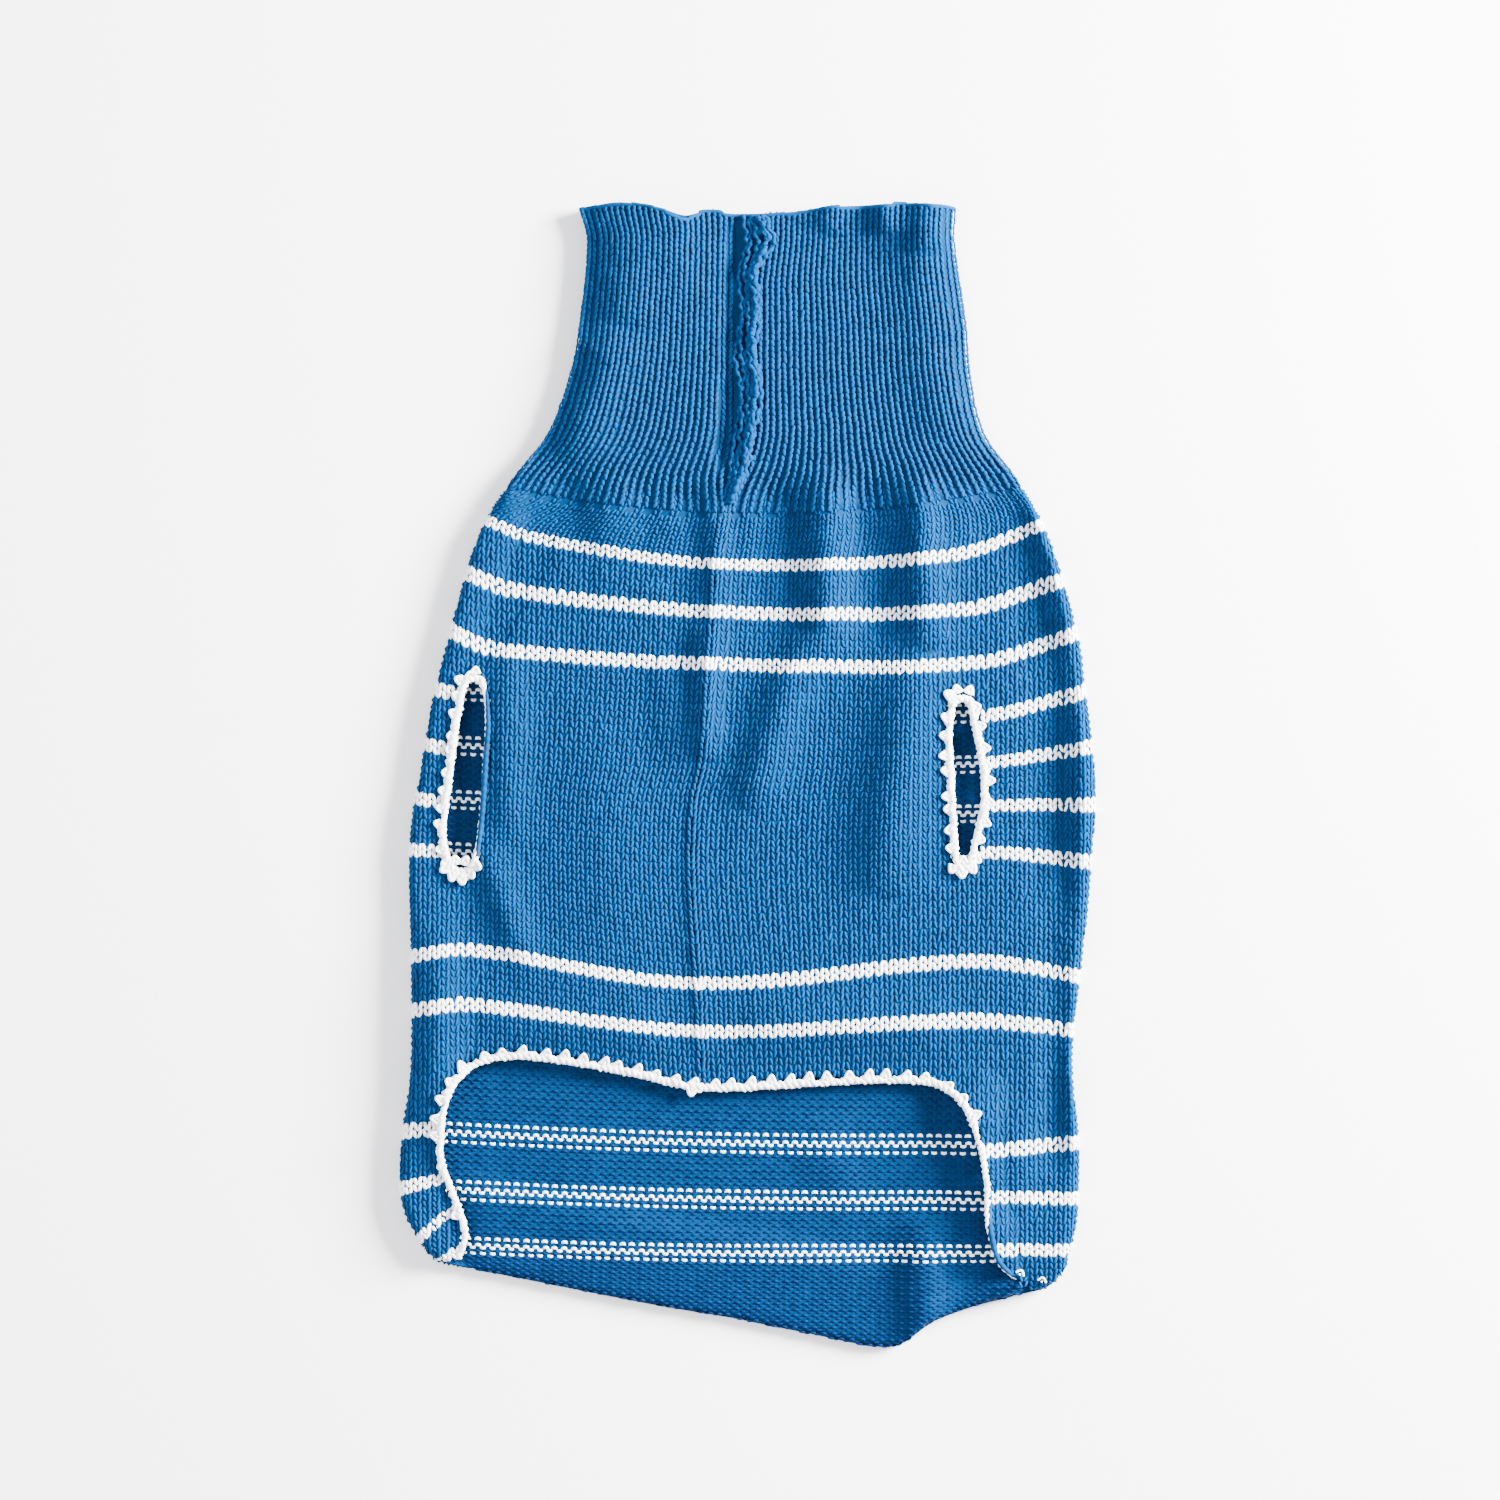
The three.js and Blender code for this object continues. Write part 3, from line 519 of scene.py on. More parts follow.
def smooth_path(corners, closed, step):
    """Evenly spaced points on a smooth curve through the corners, and the way on at each."""
    p = np.array(corners, float)
    if closed:
        p = np.concatenate([p[-1:], p, p[:2]])
    else:
        p = np.concatenate([2 * p[:1] - p[1:2], p, 2 * p[-1:] - p[-2:-1]])
    gaps = np.sqrt(np.linalg.norm(np.diff(p, axis=0), axis=1))
    found = []
    for i in range(1, len(p) - 2):
        d0, d1, d2 = gaps[i - 1:i + 2]
        start = ((p[i] - p[i - 1]) / d0 - (p[i + 1] - p[i - 1]) / (d0 + d1) + (p[i + 1] - p[i]) / d1) * d1
        end = ((p[i + 1] - p[i]) / d1 - (p[i + 2] - p[i]) / (d1 + d2) + (p[i + 2] - p[i + 1]) / d2) * d1
        t = np.linspace(0, 1, 24, endpoint=False)[:, None]
        found.append(p[i] * (2 * t ** 3 - 3 * t ** 2 + 1) + start * (t ** 3 - 2 * t ** 2 + t)
                     + p[i + 1] * (3 * t ** 2 - 2 * t ** 3) + end * (t ** 3 - t ** 2))
    found.append(p[-2:-1])
    line = np.concatenate(found)
    run = np.concatenate([[0], np.cumsum(np.linalg.norm(np.diff(line, axis=0), axis=1))])
    count = max(int(round(run[-1] / step)), 2)
    at = np.linspace(0, run[-1], count + 1)
    even = np.stack([np.interp(at, run, line[:, k]) for k in range(2)], -1)
    ahead = np.gradient(even, axis=0)
    if closed:
        ahead[0] = ahead[-1] = even[1] - even[-2]
    return even, unit(ahead), at


def leg_corners(table):
    return [(row[2], row[0]) for row in table] + [(row[1], row[0]) for row in table][::-1]


CUTS = {
    "left_leg": (leg_corners(LEFT_LEG), True),
    "right_leg": (leg_corners(RIGHT_LEG), True),
    "arch": (ARCH, False),
}


def from_cut(name, x, y):
    """Distance of points from an edging's middle: above 0 on the cloth, below 0 in the opening."""
    path, ahead, _ = smooth_path(*CUTS[name], 1.0)
    outwards = np.stack([-ahead[:, 1], ahead[:, 0]], -1)
    flat = np.stack([np.ravel(x), np.ravel(y)], -1)
    away = np.empty(len(flat))
    way = np.empty((len(flat), 2))
    for start in range(0, len(flat), 4000):
        part = flat[start:start + 4000]
        gap = part[:, None] - path[None]
        near = (gap ** 2).sum(-1).argmin(1)
        rows = np.arange(len(part))
        side = outwards[near]
        away[start:start + 4000] = (gap[rows, near] * side).sum(-1)
        way[start:start + 4000] = side
    return away.reshape(np.shape(x)), way.reshape(np.shape(x) + (2,))


def on_cloth(x, y, margin):
    """True where the belly side has cloth, at least `margin` from the edgings' middle."""
    kept = np.ones(np.shape(x), bool)
    for name in CUTS:
        away, _ = from_cut(name, x, y)
        kept &= away > margin
    return kept


def tucked(name, x, y):
    """How far an edging lies under the cloth: by the left leg hole and in the right strip."""
    if name == "left_leg":
        return 1.3 * ((x > -90.5) & (y < 27) & (y > -26))
    if name == "arch":
        return mix(0.5, 1.5, smooth(-142, -150, y)) * ((x > 68) & (y < -112))
    return 0.0 * x


def colour(code):
    """Linear colour from an sRGB hex value."""
    parts = [int(code[i:i + 2], 16) / 255 for i in (1, 3, 5)]
    return [c / 12.92 if c <= 0.04045 else ((c + 0.055) / 1.055) ** 2.4 for c in parts] + [1.0]


def add_node(tree, kind, settings=(), sockets=(), links=()):
    """Node with its settings, its socket values and its links from (node, output) to an input."""
    node = tree.nodes.new(kind)
    for name, value in dict(settings).items():
        setattr(node, name, value)
    for name, value in dict(sockets).items():
        node.inputs[name].default_value = value
    for name, (source, output) in dict(links).items():
        tree.links.new(source.outputs[output], node.inputs[name])
    return node


def yarn(name, light, dark, sheen):
    """Combed cotton yarn: matt, softly fuzzy, its shade uneven from stretch to stretch."""
    material = bpy.data.materials.new(name)
    material.use_nodes = True
    tree = material.node_tree
    shader = tree.nodes["Principled BSDF"]
    place = add_node(tree, "ShaderNodeTexCoord")
    # The shade changes over about 4 mm, as dye takes unevenly. It's the same at every height.
    flat = add_node(tree, "ShaderNodeMapping", sockets={"Scale": (240, 240, 0)},
                    links={"Vector": (place, "Object")})
    uneven = add_node(tree, "ShaderNodeTexNoise", sockets={"Scale": 1.0, "Detail": 3.0},
                      links={"Vector": (flat, "Vector")})
    shade = add_node(tree, "ShaderNodeValToRGB", links={"Fac": (uneven, "Fac")})
    shade.color_ramp.elements[0].position = 0.32
    shade.color_ramp.elements[0].color = colour(dark)
    shade.color_ramp.elements[1].position = 0.68
    shade.color_ramp.elements[1].color = colour(light)
    # Loose fibres about 0.25 mm apart
    fibre = add_node(tree, "ShaderNodeTexNoise", sockets={"Scale": 3000.0, "Detail": 2.0},
                     links={"Vector": (place, "Object")})
    fuzz = add_node(tree, "ShaderNodeBump", sockets={"Strength": 0.35, "Distance": 0.0001},
                    links={"Height": (fibre, "Fac")})
    tree.links.new(shade.outputs["Color"], shader.inputs["Base Color"])
    tree.links.new(fuzz.outputs["Normal"], shader.inputs["Normal"])
    shader.inputs["Roughness"].default_value = 0.62
    shader.inputs["IOR"].default_value = 1.53
    shader.inputs["Specular IOR Level"].default_value = 0.02
    shader.inputs["Sheen Weight"].default_value = sheen
    shader.inputs["Sheen Roughness"].default_value = 0.5
    shader.inputs["Sheen Tint"].default_value = colour(light)
    return material


def material_of(name):
    """The yarn materials, made when first asked for."""
    sizes = bpy.context.scene.sweater
    if name not in bpy.data.materials:
        blue = list(sizes.blue) + [1.0]
        white = list(sizes.white) + [1.0]
        # Painted shade: the purl side gets a darker, cooler copy of the blue, standing in for the shade the
        # sweater casts over its inside
        inside = [0.001, blue[1] * 0.45, blue[2] * 0.55, 1.0]
        tones = {
            "combed_cotton_blue": (blue, 1.12, 0.80, 0.0),
            "combed_cotton_blue_painted_shade_inside": (inside, 1.08, 0.82, 0.0),
            # Painted shade: a darker copy of the blue for the cloth under the stitches, standing in for the
            # shade in the gaps between them
            "combed_cotton_blue_painted_shade_behind": (blue, 0.62, 0.50, 0.0),
            "combed_cotton_white": (white, 1.0, 0.92, 0.05),
        }
        base, high, low, sheen = tones[name]
        yarn(name, shade_of(base, high), shade_of(base, low), sheen)
    return bpy.data.materials[name]


def shade_of(base, times):
    """sRGB hex value of a linear colour made lighter or darker."""
    parts = [min(max(c * times, 0), 1) for c in base[:3]]
    coded = [12.92 * c if c <= 0.0031308 else 1.055 * c ** (1 / 2.4) - 0.055 for c in parts]
    return "#" + "".join(f"{round(c * 255):02x}" for c in coded)


def add_piece(name, points, faces, material, nodes=()):
    """Piece of the sweater from points in millimetres. It rides on the only body."""
    points = np.maximum(points, (-np.inf, -np.inf, 0))
    mesh = bpy.data.meshes.new(name)
    mesh.vertices.add(len(points))
    mesh.vertices.foreach_set("co", (points / 1000).astype(np.float32).ravel())
    mesh.loops.add(faces.size)
    mesh.loops.foreach_set("vertex_index", faces.astype(np.int32).ravel())
    mesh.polygons.add(len(faces))
    mesh.polygons.foreach_set("loop_start", np.arange(0, faces.size, faces.shape[1], dtype=np.int32))
    mesh.polygons.foreach_set("use_smooth", np.ones(len(faces), bool))
    mesh.update(calc_edges=True)
    if mesh.validate():
        raise RuntimeError(f"{name}: its faces aren't sound")
    # Map for baking: the plan view of the piece, because its colours change in plan alone
    low = points[:, :2].min(0)
    size = (points[:, :2].max(0) - low).max()
    plan = (points[:, :2] - low) / size
    mesh.uv_layers.new(name="OFBake").data.foreach_set(
        "uv", plan[faces.ravel()].astype(np.float32).ravel())
    piece = bpy.data.objects.new(name, mesh)
    bpy.context.scene.collection.objects.link(piece)
    mesh.materials.append(material_of(material))
    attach(piece, "root")
    if nodes:
        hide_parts(*nodes)
    return piece


def two_faced(grids, keep=None):
    """Thin cloth closed along its edges, from (outer, inner) grids of points."""
    points = []
    quads = []
    first = 0
    for (outer, inner), kept in zip(grids, keep or [None] * len(grids)):
        lines, columns = outer.shape[:2]
        at = np.arange(lines * columns).reshape(lines, columns)
        cells = np.stack([at[:-1, :-1], at[:-1, 1:], at[1:, 1:], at[1:, :-1]], -1).reshape(-1, 4)
        if kept is not None:
            cells = cells[kept.ravel()[cells].all(1)]
        edges = np.concatenate([cells[:, [i, (i + 1) % 4]] for i in range(4)])
        codes = edges.min(1) * (lines * columns) + edges.max(1)
        _, index, count = np.unique(codes, return_index=True, return_counts=True)
        rim = edges[index[count == 1]]
        half = lines * columns
        sides = np.stack([rim[:, 1], rim[:, 0], rim[:, 0] + half, rim[:, 1] + half], -1)
        quads.append(np.concatenate([cells, cells[:, ::-1] + half, sides]) + first)
        points.append(np.concatenate([outer.reshape(-1, 3), inner.reshape(-1, 3)]))
        first += 2 * half
    points = np.concatenate(points)
    quads = np.concatenate(quads)
    used, back = np.unique(quads, return_inverse=True)
    return points[used], back.reshape(quads.shape)


def offset(face, s, q, depth):
    """Points of a face of the cloth, moved out by `depth` millimetres."""
    across = face(s + 0.4, q) - face(s - 0.4, q)
    down = face(s, q - 0.4) - face(s, q + 0.4)
    return face(s, q) + unit(np.cross(down, across)) * depth


def add_stitches(name, surface, u, v, white, leg, section, seed):
    """Knit stitches of a panel, as one piece in each colour."""
    pieces = []
    for colour_name, chosen in (("blue", ~white), ("white", white)):
        if chosen.any():
            thick = 1.22 if colour_name == "white" else 1.0
            points, faces = knit(surface, u[chosen], v[chosen], leg, section, seed, thick)
            pieces.append(add_piece(f"{name}_{colour_name}", points, faces,
                                    f"combed_cotton_{colour_name}"))
    return pieces


class SweaterSizes(bpy.types.PropertyGroup):
    """Sizes and colours of the sweater's yarn."""

    blue: FloatVectorProperty(
        name="Blue yarn", description="Colour of the ground yarn", subtype="COLOR", min=0, max=1,
        default=colour("#003764")[:3])
    white: FloatVectorProperty(
        name="White yarn", description="Colour of the stripes and edgings", subtype="COLOR", min=0,
        max=1, default=colour("#f4f4f6")[:3])
    edging_yarn: FloatProperty(
        name="Edging yarn", description="Thickness of the crochet yarn", default=0.0011, min=0.0005,
        max=0.003, unit="LENGTH")
    picot_length: FloatProperty(
        name="Picot length", description="How far a picot lies over the cloth", default=0.0025,
        min=0.001, max=0.005, unit="LENGTH")
    key_power: FloatProperty(
        name="Key light", description="Power of the main lamp", default=300.0, min=0, unit="POWER")


class SWEATER_OT_belly(bpy.types.Operator):
    """Knit the two belly panels with their leg holes and arched hem"""

    bl_idname = "sweater.belly"
    bl_label = "Knit the belly"

    def execute(self, context):
        for side in (-1, 1):
            name = "belly_left" if side < 0 else "belly_right"
            cloth = self.cloth(name, side)
            pieces = self.stitches(name, side)
        return {"FINISHED"}

    def cloth(self, name, side):
        columns, lines = (68, 110)
        share = np.linspace(0, 1, columns)[None, :] + np.zeros((lines, 1))
        along = np.linspace(0, 1, lines)[:, None] + np.zeros((1, columns))
        x = side * 60 * (1 - share)
        for _ in range(6):
            radius = mix(HEM_RADIUS, FOLD_RADIUS, strip_share(x))
            bottom = flap(x) + radius - radius * math.pi / 2
            q = mix(rib_end(x) + 1.5, bottom, along)
            y = round_hem(x, q)[0]
            if side < 0:
                s = mix(left(y) + FOLD_RADIUS - BEND, seam(y) - GAP / 2, share)
            else:
                s = mix(right(y) - FOLD_RADIUS + BEND, seam(y) + GAP / 2, share)
            x = round_fold(s, y)[0]
        kept = np.ones(x.shape, bool)
        for cut in CUTS:
            away, way = from_cut(cut, x, y)
            short = away - CUT_OUT
            near = np.abs(short) < 1.7
            s = np.where(near, s - short * way[..., 0], s)
            q = np.where(near, q - short * way[..., 1], q)
            kept &= near | (short > 0)
        outer = offset(belly_face, s, q, -0.75)
        inner = offset(belly_face, s, q, -1.35)
        if side > 0:
            outer, inner, kept = outer[:, ::-1], inner[:, ::-1], kept[:, ::-1]
        points, quads = two_faced([(outer, inner)], [kept])
        # The cloth under the stitches takes the blue with painted shade
        return add_piece(f"{name}_cloth", points, quads[:, ::-1], "combed_cotton_blue_painted_shade_behind",
                         [name])

    def stitches(self, name, side):
        wales = np.arange(-14, 28) if side < 0 else np.arange(28, 78)
        courses = np.arange(RIB_COURSES - 4, 175)
        u, v = [grid.ravel() for grid in np.meshgrid(wales, courses)]
        # Every other wale of the body starts between two ribs
        started = (v >= RIB_COURSES) | (u % 2 == 0)
        u, v = u[started], v[started]
        s, q = belly_place(u.astype(float), v + 0.5)
        x, y, share = laid(s, q)
        # Stitches end where the fold meets the back
        kept = (s > left(y) + FOLD_RADIUS - BEND + 0.6) & (s < right(y) - FOLD_RADIUS + BEND - 0.6)
        radius = mix(HEM_RADIUS, FOLD_RADIUS, strip_share(x))
        kept &= q > flap(x) + radius - radius * math.pi / 2 + 0.8
        kept &= on_cloth(x, y, 0.6)
        u, v, x, y = u[kept], v[kept], x[kept], y[kept]
        between = (x > -88) & (x < 70)
        # The last stripe is left on the left strip alone, where its end curls up
        white = is_white(v, between) | ((v >= 172) & (v < 174) & (x < -88))
        return add_stitches(f"{name}_stitches", belly_surface, u, v, white, BODY_LEG, ROUND_TOP,
                            11 + side)


def belly_surface(u, v):
    return with_directions(belly_place, belly_face, u, v)


def back_outside(u, v):
    """Surface for the knit stitches of the back, which face the floor."""
    here, across, out = with_directions(back_place, back_middle, u, v)
    return here - out * WALL / 2, across, -out


def back_inside(u, v):
    """Surface for the purl stitches on the inside of the back."""
    here, across, out = with_directions(back_place, back_middle, u, v)
    return here + out * WALL / 2, across, out


class SWEATER_OT_back(bpy.types.Operator):
    """Knit the back with its hem turned under, and the purl side of it that shows"""

    bl_idname = "sweater.back"
    bl_label = "Knit the back"

    def execute(self, context):
        cloth = self.cloth()
        pieces = self.outside() + self.inside()
        return {"FINISHED"}

    def cloth(self):
        columns, lines = (90, 90)
        share = np.linspace(0, 1, columns)[None, :] + np.zeros((lines, 1))
        along = np.linspace(0, 1, lines)[:, None] + np.zeros((1, columns))
        x = mix(-90.0, 90.0, share)
        for _ in range(6):
            radius = mix(HEM_RADIUS, FOLD_RADIUS, strip_share(x))
            bottom = flap(x) + radius - radius * math.pi / 2
            q = mix(rib_end(x) - GAP / 2, bottom, along)
            y = round_hem(x, q)[0]
            s = mix(left(y) + FOLD_RADIUS - BEND, right(y) - FOLD_RADIUS + BEND, share)
            x = round_fold(s, y)[0]
        outer = offset(back_middle, s, q, 0.3)
        inner = offset(back_middle, s, q, -0.3)
        reach = (STRIP_SHARE - 0.05) * CORNER_X
        across = np.linspace(-reach, reach, 56)[None, :] + np.zeros((12, 1))
        down = np.linspace(0, 1, 12)[:, None] + np.zeros((1, 56))
        layers = (outer, inner), (turned_layer(across, down, 0.3), turned_layer(across, down, -0.3))
        points, quads = two_faced(layers)
        # The cloth under the stitches takes the blue with painted shade
        return add_piece("back_cloth", points, quads[:, ::-1], "combed_cotton_blue_painted_shade_behind",
                         ["back_panel"])

    def outside(self):
        wales = np.arange(-42, 43)
        courses = np.arange(RIB_COURSES, 172)
        u, v = [grid.ravel() for grid in np.meshgrid(wales, courses)]
        s, q = back_place(u.astype(float), v + 0.5)
        x, y, share = laid(s, q)
        kept = (s > left(y) + FOLD_RADIUS - BEND + 0.4) & (s < right(y) - FOLD_RADIUS + BEND - 0.4)
        kept &= q > flap(x) + strip_share(x) * (FOLD_RADIUS - BEND)
        # The turned hem covers the back behind it
        kept &= turned(x, y) < 0.97
        u, v = u[kept], v[kept]
        return add_stitches("back_stitches", back_outside, u, v, is_white(v, u > 999), PLAIN_LEG,
                            TENT, 21)

    def inside(self):
        wales = np.arange(-33, 29)
        courses = np.arange(84, 184)
        u, v = [grid.ravel() for grid in np.meshgrid(wales, courses)]
        pieces = {}
        for way, place in ((1, (0.0, 0.0)), (-1, (0.5, 1.0))):
            s, q = back_place(u + place[0], v + place[1])
            x, y, _ = laid(s, q)
            shown = ~on_cloth(x, y, 4.0) & (q > flap(x) - 1.0)
            shown &= np.minimum(x - left(y), right(y) - x) > 5.0
            for white in (False, True):
                chosen = shown & (is_white(v, u > 999) == white)
                made = purl(back_inside, u[chosen] + place[0], v[chosen] + place[1], way, 31 + way,
                            1.25 if white else 1.0)
                pieces.setdefault(white, []).append(made)
        # The turned hem shows its purl side to the floor
        reach = (STRIP_SHARE - 0.06) * CORNER_X
        wales = np.arange(-reach, reach, WALE)
        for way, place in ((1, 0.0), (-1, 0.5)):
            u, v = [grid.ravel() for grid in np.meshgrid(wales / WALE + place, np.arange(0.6, 6.6) + place)]
            pieces[False].append(purl(hem_underside, u, v, way, 35 + way, 1.0))
        found = []
        for white, parts in pieces.items():
            points, faces = joined(parts)
            name = "white" if white else "blue"
            # The blue purl stitches take the copy of the blue with painted shade
            tone = "white" if white else "blue_painted_shade_inside"
            found.append(add_piece(f"back_purl_{name}", points, faces, f"combed_cotton_{tone}"))
        return found


def turned_layer(x, down, depth):
    """The hem of the back, from the middle of its round edge to its end under the back."""
    radius = HEM_RADIUS - WALL / 2 + depth
    arc = (HEM_RADIUS - WALL / 2) * math.pi / 2
    q = down * (arc + TURN_DEPTH)
    angle = math.pi / 2 + np.clip(q / (HEM_RADIUS - WALL / 2), 0, math.pi / 2)
    start = flap(x) + HEM_RADIUS
    y = start - (WALL / 2 + radius) * np.sin(angle) + np.maximum(q - arc, 0)
    z = HEM_RADIUS + radius * np.cos(angle)
    return np.stack([x, y, z], -1)


def hem_underside(u, v):
    """Face of the turned hem that lies on the floor, with courses counted from its round edge."""
    x = u * WALE
    arc = (HEM_RADIUS - WALL / 2) * math.pi / 2

    def at(x, v):
        return turned_layer(x, v * 2.3 / (arc + TURN_DEPTH), WALL / 2)

    across = at(x + 0.4, v) - at(x - 0.4, v)
    along = at(x, v + 0.2) - at(x, v - 0.2)
    return at(x, v), unit(across), unit(np.cross(along, across))


class SWEATER_OT_collar(bpy.types.Operator):
    """Knit the ribbed collar"""

    bl_idname = "sweater.collar"
    bl_label = "Knit the collar"

    def execute(self, context):
        lines, columns = (40, 193)
        turn = np.linspace(0, 1, columns)[None, :] + np.zeros((lines, 1))
        along = np.linspace(-0.002, 1, lines)[:, None] + np.zeros((1, columns))
        inside = np.where(turn < 0.5, -0.1 - 0.55 * smooth(0.82, 0.97, along), -0.95)
        outer = collar_face(turn % 1, along, inside)
        inner = collar_face(turn % 1, along, inside - 0.7)
        points, quads = two_faced([(outer, inner)])
        # The cloth under the ribs takes the blue with painted shade
        cloth = add_piece("collar_cloth", points, quads[:, ::-1], "combed_cotton_blue_painted_shade_behind",
                          ["collar"])
        ribs = np.arange(64)
        courses = np.arange(RIB_COURSES)
        u, v = [grid.ravel() for grid in np.meshgrid(2.0 * ribs + 1, courses)]
        front = u < 64
        for name, chosen, leg, section in (
                ("collar_front", front, RIB_LEG, ROUND_TOP), ("collar_back", ~front, RIB_LEG, TENT)):
            points, faces = knit(rib_crest, u[chosen], v[chosen], leg, section, 41)
            if name == "collar_front":
                edge = rib_crest(np.linspace(-1, 65, 260), np.full(260, 0.2))
                rim = tube(edge[0] - edge[2] * 0.6, 0.62, 6)
                points, faces = joined([(points, faces), rim])
            add_piece(name, points, faces, "combed_cotton_blue")
        return {"FINISHED"}


def beside_seam(u, v):
    """Wales of the collar pushed aside to leave room for its seam."""
    y = mix(RIM[0][1], RIB_END, v / RIB_COURSES)
    start = left(y) + FOLD_RADIUS - BEND
    pitch = (2 * BEND + right(y) - left(y) - 2 * FOLD_RADIUS) / 64
    room = 1 - smooth(44, 53, v)
    low_on = 1 - smooth(86, 112, y)
    low = mix(SPLIT_WALE, (-4.2 - 4.2 * low_on - start) / pitch, room)
    high = mix(SPLIT_WALE, (3.4 - 6.0 * low_on + 1.8 * smooth(156, 174, y) - start) / pitch, room)
    moved = np.where(u < SPLIT_WALE, u * low / SPLIT_WALE,
                     64 - (64 - u) * (64 - high) / (64 - SPLIT_WALE))
    return np.where(u < 64, moved, u)


def rib_crest(u, v):
    """Surface through the crests of the collar's ribs, wales counted round the whole collar."""
    rib = np.clip(np.round((u - 1) / 2), 0, 63).astype(int)
    uneven = np.random.default_rng(5).normal(0, 0.14, 64)[rib]
    v = v + (uneven + 0.22 * np.sin(rib * 0.9)) * (1 - smooth(0, 6, v))
    turn = (beside_seam(u, v) / 128) % 1
    along = v / RIB_COURSES
    rise = np.where(turn < 0.5, RIB_HEIGHT, 0) * (1 - 0.8 * smooth(46, 53, v))
    here = collar_face(turn, along, rise)
    step = 0.002
    across = collar_face((turn + step) % 1, along, rise) - collar_face((turn - step) % 1, along, rise)
    down = collar_face(turn, along + step, rise) - collar_face(turn, along - step, rise)
    return here, unit(across), unit(np.cross(down, across))


def tube(line, radius, sides, closed=False):
    """Round strand along a line of points; its radius may change from point to point."""
    ahead = np.gradient(line, axis=0)
    if closed:
        ahead = np.roll(line, -1, 0) - np.roll(line, 1, 0)
    ahead = unit(ahead)
    side = np.cross(ahead, (0, 0, 1.0))
    side = unit(np.where(np.linalg.norm(side, axis=1, keepdims=True) < 1e-3, (1.0, 0, 0), side))
    up = np.cross(side, ahead)
    radius = np.broadcast_to(radius, len(line))[:, None, None]
    angle = np.arange(sides) * 2 * math.pi / sides
    ring = side[:, None] * np.cos(angle)[None, :, None] + up[:, None] * np.sin(angle)[None, :, None]
    points = (line[:, None] + ring * radius).reshape(-1, 3)
    count = len(line)
    faces = []
    for j in range(count if closed else count - 1):
        for i in range(sides):
            a = j * sides + i
            b = j * sides + (i + 1) % sides
            c = (j + 1) % count * sides + (i + 1) % sides
            d = (j + 1) % count * sides + i
            faces += [(a, b, c), (a, c, d)]
    if not closed:
        last = (count - 1) * sides
        for i in range(1, sides - 1):
            faces += [(0, i + 1, i), (last, last + i, last + i + 1)]
    return points, np.array(faces)


def joined(parts):
    """Several strands as one set of points and faces."""
    starts = np.cumsum([0] + [len(points) for points, _ in parts])
    points = np.concatenate([points for points, _ in parts])
    return points, np.concatenate([faces + start for (_, faces), start in zip(parts, starts)])


def crochet(name, corners, closed, top, plain, yarn_radius, picot_length):
    """Uneven band of two twisted strands along an edge, with a picot every few millimetres."""
    chance = np.random.default_rng(len(corners))
    path, ahead, run = smooth_path(corners, closed, 0.6)
    if closed:
        path, ahead, run = path[:-1], ahead[:-1], run[:-1]
    total = run[-1] + (0.6 if closed else 0)
    outwards = np.stack([-ahead[:, 1], ahead[:, 0]], -1)
    turns = max(round(total / 3.9), 1)
    share = run / total
    hidden = tucked(name, *path.T)
    hidden = np.convolve(np.pad(hidden, 4, "edge"), np.ones(9) / 9, "valid")
    slim = np.clip(1 - 0.5 * hidden, 0.3, 1)
    path = path + outwards * 0.15 * hidden[:, None]
    rest = top(*(path + outwards * 1.0).T) + 0.3 - 0.9 * hidden
    if name == "arch":
        rest = rest - at_ends(run)
    parts = []
    for half in (0, math.pi):
        angle = 2 * math.pi * turns * share + half
        wave = np.convolve(chance.normal(0, 1, len(run)), (0.25, 0.5, 0.25), "same")
        aside = (np.cos(angle) * 0.58 + wave * 0.36) * slim
        height = np.sin(angle) * 0.5 * slim
        line = np.column_stack([path + outwards * aside[:, None], rest + height])
        thick = yarn_radius * (1.5 + 0.30 * np.sin(angle * 2.5) + 0.34 * wave) * slim
        thick = np.maximum(thick, 0.3)
        parts.append(tube(line, thick, 7, closed))
    count = round(total / PICOT_PITCH)
    for k in range(count):
        at = (k + 0.5 + chance.uniform(-0.16, 0.16)) / count
        if plain(at):
            continue
        i = int(at * (len(run) - 1))
        length = picot_length * chance.uniform(0.72, 1.12)
        parts += picot(path[i], outwards[i], ahead[i], rest[i], top, length, yarn_radius,
                       chance.uniform(-0.2, 0.9))
    return parts


def picot(foot, out, ahead, rest, top, length, radius, lean=0.0):
    """Small loop of three chains that lies out over the cloth, leaning along the edge."""
    t = np.linspace(0, 1, 11)
    reach = 0.8 + np.sin(math.pi * t) ** 1.2 * (length - radius + 0.3)
    bow = np.sin(math.pi * t)
    aside = -np.cos(math.pi * t) * 1.35 * (1 - 0.35 * bow) + lean * bow
    plan = foot + np.outer(reach, out) + np.outer(aside, ahead)
    height = np.maximum(top(*plan.T) + radius * 0.9, rest - 0.2) + 0.25 * np.sin(math.pi * t)
    loop = tube(np.column_stack([plan, height]), radius * (1.05 - 0.12 * bow), 6)
    t = np.linspace(0, 1, 6)
    plan = foot + np.outer(0.6 + t * (length - 0.9), out) + np.outer(lean * t, ahead)
    height = np.maximum(top(*plan.T) + radius, rest - 0.1) + 0.1
    core = tube(np.column_stack([plan, height]), radius * np.array([1.3, 1.25, 1.1, 0.85, 0.6, 0.3]), 6)
    return [loop, core]


